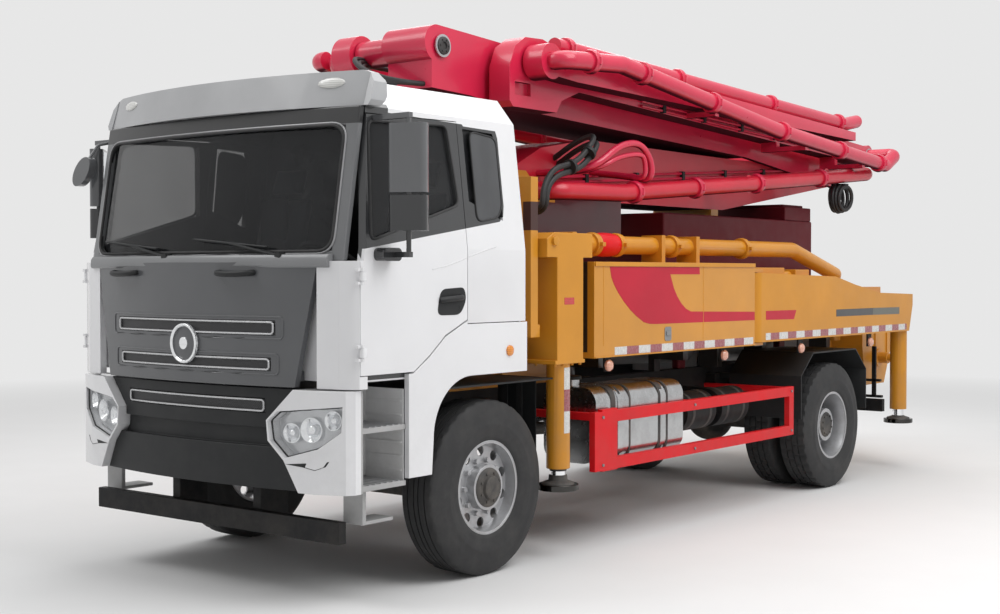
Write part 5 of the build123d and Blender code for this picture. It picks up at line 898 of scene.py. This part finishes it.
# Small lamps under the deck's edge, each on its plate.
for index, s, top, body in ((1, 1.235, 1.291, "chassis"), (2, 2.813, 1.291, "chassis"),
                            (3, 4.107, 1.306, "outrigger_arm_*"), (4, 5.49, 1.306, "outrigger_arm_*")):
    BOXED.append((f"under_deck_lamp_plate_*_{index}", "black_steel", 0.002, body,
                  ((1.19, 1.206), around(s, 0.04), (1.192, top))))
    TURNED.append((f"under_deck_lamp_*_{index}", "pale_amber", 0, body, (1.205, s, 1.232), OUT, 24,
                   [(0, 0.04), (0.016, 0.04), (0.028, 0.03), (0.034, 0.012), (0.035, 0.002)]))
for name, tone, bevel, body, *boxes in BOXED:
    for side in SIDES if "*" in name else (1,):
        shape = Shape(side)
        for spans in boxes:
            shape.box(*spans)
        shape.finish(name, tone, bevel, body)
for name, tone, bevel, body, centre, axis, sides, profile in TURNED:
    for side in SIDES if "*" in name else (1,):
        Shape(side).turned(profile, centre, axis, sides).finish(name, tone, bevel, body)
for side in SIDES:
    collar = Shape(side)
    for z, profile in ((0.565, [(0, 0.056), (0.035, 0.06), (0.045, 0.058), (0.052, 0.052)]),
                       (0.478, [(0, 0.11), (0.012, 0.104), (0.026, 0.064), (0.06, 0.06)])):
        collar.turned(profile, (LEG_X, LEG_S, z), UP, 32)
    collar.finish("foot_collar_front_*", "iron", 0.002, "jack_front_*")

# Fuel tank seams, and bands on the air tanks.
tank, bands = Shape(), Shape()
for s, half in ((1.335, 0.03), (1.42, 0.012), (1.545, 0.01), (1.945, 0.03), (2.035, 0.012)):
    tank.slab(panel(0.738, 1.182, 0.558, 1.082, 0.11, 6), around(s, half))
tank.finish("fuel_tank_straps", "iron", 0.001)
for x in (0.94, -0.94):
    for s in (2.56, 2.81, 3.08, 3.33):
        bands.turned([(0, 0.1515), (0.035, 0.1515)], (x, s, 0.8), BACK)
bands.finish("air_tank_bands", "iron", 0.001)

# Pipe couplings: a two-part clamp with its bolt, at each joint of the deck pipe.
couplings = Shape()
for s in (1.45, 1.75, 2.5, 3.6):
    couplings.turned([(-0.03, 0.07), (-0.03, 0.083), (-0.01, 0.086), (0.01, 0.086), (0.03, 0.083),
                      (0.03, 0.07)], (PIPE_X, s, PIPE_Z), BACK, 40)
    couplings.box((1.0, 1.03), around(s, 0.02), around(PIPE_Z, 0.015))
couplings.finish("deck_pipe_couplings", "yellow", 0.003)

# Slewing ring: bolt circle and gear teeth.
SLEW_S = 1.3
ring = Shape().bolts([(u, SLEW_S + v, 2.088) for u, v in circle(0.395, 36)], DOWN, 0.013, 0.012)
for u, v in circle(1, 90):
    ring.skin([[(u * r - v * d, SLEW_S + v * r + u * d, z) for r, d in (
        (0.429, -0.01), (0.442, -0.005), (0.442, 0.005), (0.429, 0.01))] for z in (2.095, 2.14)])
ring.finish("slewing_ring_gear", "iron")

# Hopper: rim flange, splash rib lines, agitator motor and its bearing.
hopper = Shape()
for hopper.side in SIDES:
    hopper.box((0.757, 0.785), (6.34, 7.125), (1.485, 1.515))
    for s in (6.62, 6.9):
        hopper.box((0.7595, 0.772), around(s, 0.006), (1.02, 1.49))
    hopper.turned([(0, 0.09), (0.03, 0.09), (0.03, 0.055), (0.12, 0.055), (0.12, 0.04), (0.16, 0.038),
                   (0.162, 0.002)], (0.7595, 6.68, 1.02), sides=32)
hopper.box((-0.76, 0.76), (7.12, 7.132), (1.46, 1.519)).finish("hopper_trim", "yellow", 0.003)

# ---- boom --------------------------------------------------------------------------------
# Cap plate, light ring and bolts on the ends of the pivot pins: X of each end, and the way it faces.
for name, s, z, ends, radius, body, tone in (
        ("pin_12", 6.56, 2.84, ((0.3505, 1), (-0.3505, -1)), 0.085, "boom_2", "red"),
        ("pin_lift", 1.3, 2.44, ((0.3705, 1), (-0.3705, -1)), 0.08, "turret", "yellow"),
        ("pin_23", 0.494, 3.386, ((0.3625, 1),), 0.06, "boom_2", "iron"),
        ("pin_45", 1.2, 3.33, ((0.3995, -1),), 0.085, "boom_4", "red"),
        ("pin_34", 6.85, 3.04, ((0.5805, 1),), 0.06, "boom_4", "red")):
    caps, rings = Shape(), Shape()
    for x, caps.side in ends:
        rings.side = caps.side
        caps.turned([(0, radius), (0.016, radius), (0.02, radius * 0.9), (0.02, radius * 0.45),
                     (0.01, radius * 0.42), (0.01, 0.002)], at(x, s, z), sides=40)
        caps.bolts([at(x + caps.side * 0.019, s + u, z + v) for u, v in circle(radius * 0.7, 6)], OUT,
                   radius * 0.1, 0.008)
        rings.ring([(0.0, radius + 0.001), (0.01, radius + 0.001), (0.01, radius * 1.28),
                    (0.0, radius * 1.28)], at(x, s, z))
    caps.finish(f"{name}_caps", tone, 0.001, body)
    rings.finish(f"{name}_rings", "rim_silver", body=body)

# Couplings round the boom's pipes, each on one X: route by station and height, places by run and share.
for name, body, radius, x, route, places in (
        ("low_pipe_couplings", "boom_1", 0.065, 0.72, ((1.3, 2.44), (2.1, 2.455), (4.1, 2.62), (6.56, 2.84)),
         ((1, 0.1), (1, 0.55), (2, 0.05), (2, 0.55))),
        ("near_pipe_couplings", "boom_4", 0.065, 0.865, ((1.2, 3.33), (1.9, 3.375), (4.3, 3.09), (6.6, 2.92)),
         ((0, 0.45), (1, 0.12), (1, 0.55), (2, 0.05), (2, 0.55), (2, 0.93))),
        ("tip_pipe_couplings", "boom_5", 0.062, 0.68, ((1.33, 3.455), (6.05, 3.29)),
         ((0, 0.03), (0, 0.35), (0, 0.68), (0, 0.97))),
        ("far_pipe_couplings_2", "boom_2", 0.065, -0.66, ((0.8, 3.13), (6.1, 2.8)),
         ((0, 0.1), (0, 0.4), (0, 0.7), (0, 0.95))),
        ("far_pipe_couplings_3", "boom_3", 0.065, -0.84, ((0.494, 3.386), (6.85, 3.04)),
         ((0, 0.06), (0, 0.35), (0, 0.65), (0, 0.93)))):
    clamps = Shape()
    for run, share in places:
        start, end = at(x, *route[run]), at(x, *route[run + 1])
        centre, ahead = start.lerp(end, share), (end - start).normalized()
        clamps.turned([(-0.032, radius + 0.003), (-0.032, radius + 0.016), (-0.012, radius + 0.022),
                       (0.012, radius + 0.022), (0.032, radius + 0.016), (0.032, radius + 0.003)],
                      centre, ahead, 36)
        lug = centre + ahead.cross(Vector(UP)).normalized() * (radius + 0.02)
        clamps.rod(lug - Vector(UP) * 0.028, lug + Vector(UP) * 0.028, 0.01, 8)
    clamps.finish(name, "red", 0.002, body)

# Hydraulic lines: small pipes one over another along the sections, held by blocks.
for body, x, s0, z0, s1, z1, lifts in (
        ("boom_1", 0.305, 1.9, 2.5, 6.2, 2.8, (0, 0.04, 0.08)),
        ("boom_2", 0.365, 1.6, 3.33, 4.6, 3.11, (0, 0.035)),
        ("boom_4", 0.595, 2.6, 3.16, 6.4, 3.01, (0, 0.035)),
        ("boom_3", -0.565, 1.2, 3.36, 6.0, 3.1, (0, 0.035))):
    pipes, clips = Shape(), Shape()
    for lift in lifts:
        pipes.tube([at(x, s0 + (s1 - s0) * t, z0 + (z1 - z0) * t + lift) for t in (0, 0.5, 1)], 0.011, 10)
    for t in ((k + 0.5) / 6 for k in range(6)):
        z = z0 + (z1 - z0) * t
        clips.box(around(x, 0.018), around(s0 + (s1 - s0) * t, 0.02), (z - 0.018, z + lifts[-1] + 0.018))
    pipes.finish(f"{body}_lines_pipes", "red", body=body)
    clips.finish(f"{body}_lines_clips", "plastic_black", 0.002, body)

# Black hoses from the pivot round the low pipe and up to the first section, held by straps. They lie in
# one upright fan except where they turn up in front of the pipe.
WALL_X, HOSE_X, LOOP_X = 0.285, 0.745, 0.795  # of the first section's side, the hoses and the oil loops
hoses, straps = Shape(), Shape()
for shift in (-0.022, -0.02, 0.022, 0.024):
    hoses.tube([(x, s + shift, z - shift * fan) for x, s, z, fan in (
        (0.44, 1.215, 2.315, 1), (0.58, 1.165, 2.295, 1), (HOSE_X, 1.125, 2.3, 0), (HOSE_X, 1.14, 2.46, 0),
        (HOSE_X, 1.26, 2.57, 1), (HOSE_X, 1.44, 2.605, 1), (HOSE_X, 1.575, 2.655, 1),
        (HOSE_X, 1.735, 2.78, 1), (0.7, 1.82, 2.85, 1), (0.5, 1.87, 2.81, 1), (WALL_X, 1.89, 2.7, 1))],
        0.02, 10, 3)
for s, z, lean in ((1.44, 2.61, math.radians(14)), (1.665, 2.725, math.radians(38))):
    straps.turned([(-0.014, 0.052), (-0.014, 0.056), (0.014, 0.056), (0.014, 0.052)], (HOSE_X, s, z),
                  (0, math.cos(lean), math.sin(lean)), 28)
hoses.finish("boom_hoses", "rubber", body="boom_1")
straps.finish("boom_hose_straps", "plastic_black", 0.001, "boom_1")

# Red oil lines looping over the low pipe beside the first section.
loops = Shape()
for d, radius in ((0.0, 0.026), (0.085, 0.019)):
    loops.tube([(WALL_X, 1.66 + d, 2.6), (0.6, 1.69 + d, 2.6), (0.775, 1.73 + d, 2.64),
                (LOOP_X, 1.985, 2.8 - d), (LOOP_X, 2.26, 2.842 - d), (LOOP_X, 2.425 - d, 2.72),
                (LOOP_X, 2.43 - d, 2.56), (0.6, 2.43 - d, 2.6), (WALL_X, 2.43 - d, 2.64)], radius, 12, 3)
loops.finish("boom_oil_loops", "red", body="boom_1")

# Spare hose coiled on a bracket under the low pipe, near the first section's end.
coil = Shape()
for x, reach, turn in ((0.64, 0.118, 0.1), (0.678, 0.128, 0.05), (0.716, 0.122, -0.04),
                       (0.754, 0.112, -0.12)):
    coil.ring([(u, reach + v) for u, v in circle(0.018, 10)], (x, 5.935, 2.572), (1, turn, turn * 0.6), 40)
coil.finish("boom_hose_coil", "rubber", body="boom_1")

# Hoses looped over the front end of the second section, above the cab's roof.
over = Shape()
for d in (0, 0.04, 0.08):
    over.tube([(-0.3, 0.66 + d, 3.3), (-0.3, 0.42 + d, 3.345 - d * 0.5), (-0.22, 0.235 + d, 3.325 - d * 0.5),
               (-0.08, 0.15 + d, 3.24 - d * 0.4), (0.1, 0.16 + d, 3.165 - d * 0.3), (0.24, 0.24 + d, 3.13),
               (0.28, 0.42 + d, 3.13)], 0.017, 10, 3)
over.finish("boom_2_front_hoses", "rubber", body="boom_2")

# ---- inside the cab ----------------------------------------------------------------------
Shape().ring([(0.013 + u, 0.212 + v) for u, v in circle(0.016, 10)], (0.56, -0.76, 1.9),
             (0, 0.58, 0.82)).finish("steering_wheel_rim", "plastic_black")


def cushion(name, centre, half, crown, tilt=0.0):
    """Crowned seat pad with pulled-in sides and two sewn channels."""
    mesh = bmesh.new()
    bmesh.ops.create_grid(mesh, x_segments=24, y_segments=24, size=1.0)
    top = list(mesh.verts)
    extruded = bmesh.ops.extrude_face_region(mesh, geom=mesh.faces[:])["geom"]
    for group, sign in ((top, 1), ([v for v in extruded if isinstance(v, bmesh.types.BMVert)], -1)):
        for vertex in group:
            u, w, _ = vertex.co
            edge = max(abs(u), abs(w)) ** 6
            z = sign * half[2] * (1 - edge * 0.55)
            if sign > 0:
                channel = 0.1 * math.exp(-((abs(u) - 0.45) / 0.05) ** 2) * half[2]
                z += crown * (1 - u**4) * (1 - w**4) - channel
            pull = 1 - 0.02 * (1 - abs(u * w))
            vertex.co = Vector((u * half[0] * pull, w * half[1] * pull, z))
    bmesh.ops.recalc_face_normals(mesh, faces=mesh.faces)
    mesh.transform(Matrix.Translation(centre) @ Matrix.Rotation(math.radians(tilt), 4, "X"))
    obj = dressed(name, mesh, "cloth_grey", "chassis", angle=60)
    return obj


def puffed(obj, cap=0.01):
    """Swells the pad under cloth pressure and keeps the result, capped to a small move."""
    swell = obj.modifiers.new("swell", "CLOTH")
    swell.settings.use_pressure = True
    swell.settings.uniform_pressure_force = 4
    swell.settings.effector_weights.gravity = 0
    swell.settings.quality = 5
    swell.point_cache.frame_start, swell.point_cache.frame_end = 1, 12
    for step in range(1, 13):
        bpy.context.scene.frame_set(step)
    graph = bpy.context.evaluated_depsgraph_get()
    swollen = [v.co.copy() for v in obj.evaluated_get(graph).data.vertices]
    obj.modifiers.remove(swell)
    bpy.context.scene.frame_set(1)
    for vertex, moved in zip(obj.data.vertices, swollen):
        shift = moved - vertex.co
        vertex.co += shift.normalized() * min(shift.length, cap)
    smooth = obj.modifiers.new("smooth", "SUBSURF")
    smooth.levels = smooth.render_levels = 1


pads = []
bases = Shape()
for side in SIDES:
    for part, s, z, half, crown, tilt in (("seat_cushion", -0.385, 1.7, (0.235, 0.245, 0.052), 0.02, 0),
                                          ("seat_back", -0.085, 2.05, (0.235, 0.325, 0.048), 0.02, 77),
                                          ("head_rest", 0.005, 2.48, (0.135, 0.085, 0.04), 0.015, 72)):
        pads.append(cushion(f"{part}_{SIDES[side]}", at(side * 0.6, s, z), half, crown, tilt))
    bases.side = side
    bases.box((0.42, 0.78), (-0.54, -0.2), (1.301, 1.6)).box((0.4, 0.8), (-0.6, -0.16), (1.601, 1.645))
    bases.box((0.47, 0.73), (-0.155, -0.125), (1.62, 2.36))
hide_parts("seats")
for pad in pads:
    puffed(pad)
bases.finish("seat_bases", "plastic_black", 0.012)

# ---- stage -------------------------------------------------------------------------------
BACKDROP = (0.8, 0.8, 0.8)
scene = bpy.context.scene


def seen_directly(n):
    """1 for rays from the camera, off shiny things and through glass, 0 for light on the object."""
    path = n.add("LightPath").node.outputs
    return n.maths("MAXIMUM", *(path[f"Is {kind} Ray"] for kind in ("Camera", "Glossy", "Transmission")))


def shown_mixed(n, output, share, shown):
    """Puts what is seen directly over the tree's own shader."""
    n.put(n.tree.nodes[output].inputs["Surface"], n.add("MixShader", share, n.shader.outputs[0], shown))


n = Nodes("floor")
far = n.spread(n.add("VectorMath", n.coords, operation="LENGTH", out="Value"), 0, 1, 7, 16)
n.shade(Base_Color=n.blend(n.noise(1.5, 5), (0.77, 0.77, 0.77), (0.81, 0.81, 0.81)), Roughness=0.9)
shown_mixed(n, "Material Output", n.times(far, seen_directly(n)), n.add("Emission", BACKDROP))
mesh = bmesh.new()
bmesh.ops.create_circle(mesh, cap_ends=True, segments=96, radius=90)
data = bpy.data.meshes.new("floor")
mesh.to_mesh(data)
mesh.free()
data.materials.append(n.material)
floor = bpy.data.objects.new("floor", data)
scene.collection.objects.link(floor)

scene.world = bpy.data.worlds.new("studio")
n = Nodes(scene.world)
n.shade(Color=(1, 1, 1), Strength=0.42)
shown_mixed(n, "World Output", seen_directly(n), n.add("Background", BACKDROP))

# Soft boxes: place, aim, width, height, watts.
for index, (place, aim, width, height, watts) in enumerate((
        ((7.0, -1.0, 8.5), (0.0, 0.0, 1.0), 7.0, 7.0, 620),
        ((-5.0, -8.5, 10.5), (0.0, -2.5, 1.5), 6.0, 6.0, 420),
        ((0.0, 1.0, 10.5), (0.0, 1.0, 0.0), 8.0, 10.0, 420),
        ((-6.0, 7.0, 6.5), (0.0, 1.5, 1.5), 6.0, 6.0, 240)), 1):
    data = bpy.data.lights.new(f"soft_box_{index}", "AREA")
    data.shape = "RECTANGLE"
    data.size, data.size_y = width, height
    data.energy = watts
    obj = bpy.data.objects.new(data.name, data)
    obj.location = place
    obj.rotation_euler = (Vector(aim) - Vector(place)).to_track_quat("-Z", "Y").to_euler()
    scene.collection.objects.link(obj)

lens = bpy.data.cameras.new("photo_view")
lens.lens = 51.7
lens.clip_end = 400
scene.camera = bpy.data.objects.new("photo_view", lens)
scene.camera.location = at(6.672, -6.871, 1.856)
scene.camera.rotation_euler = (math.radians(90 - 1.336), 0, math.radians(38.3))
scene.collection.objects.link(scene.camera)
scene.view_settings.view_transform = "Standard"
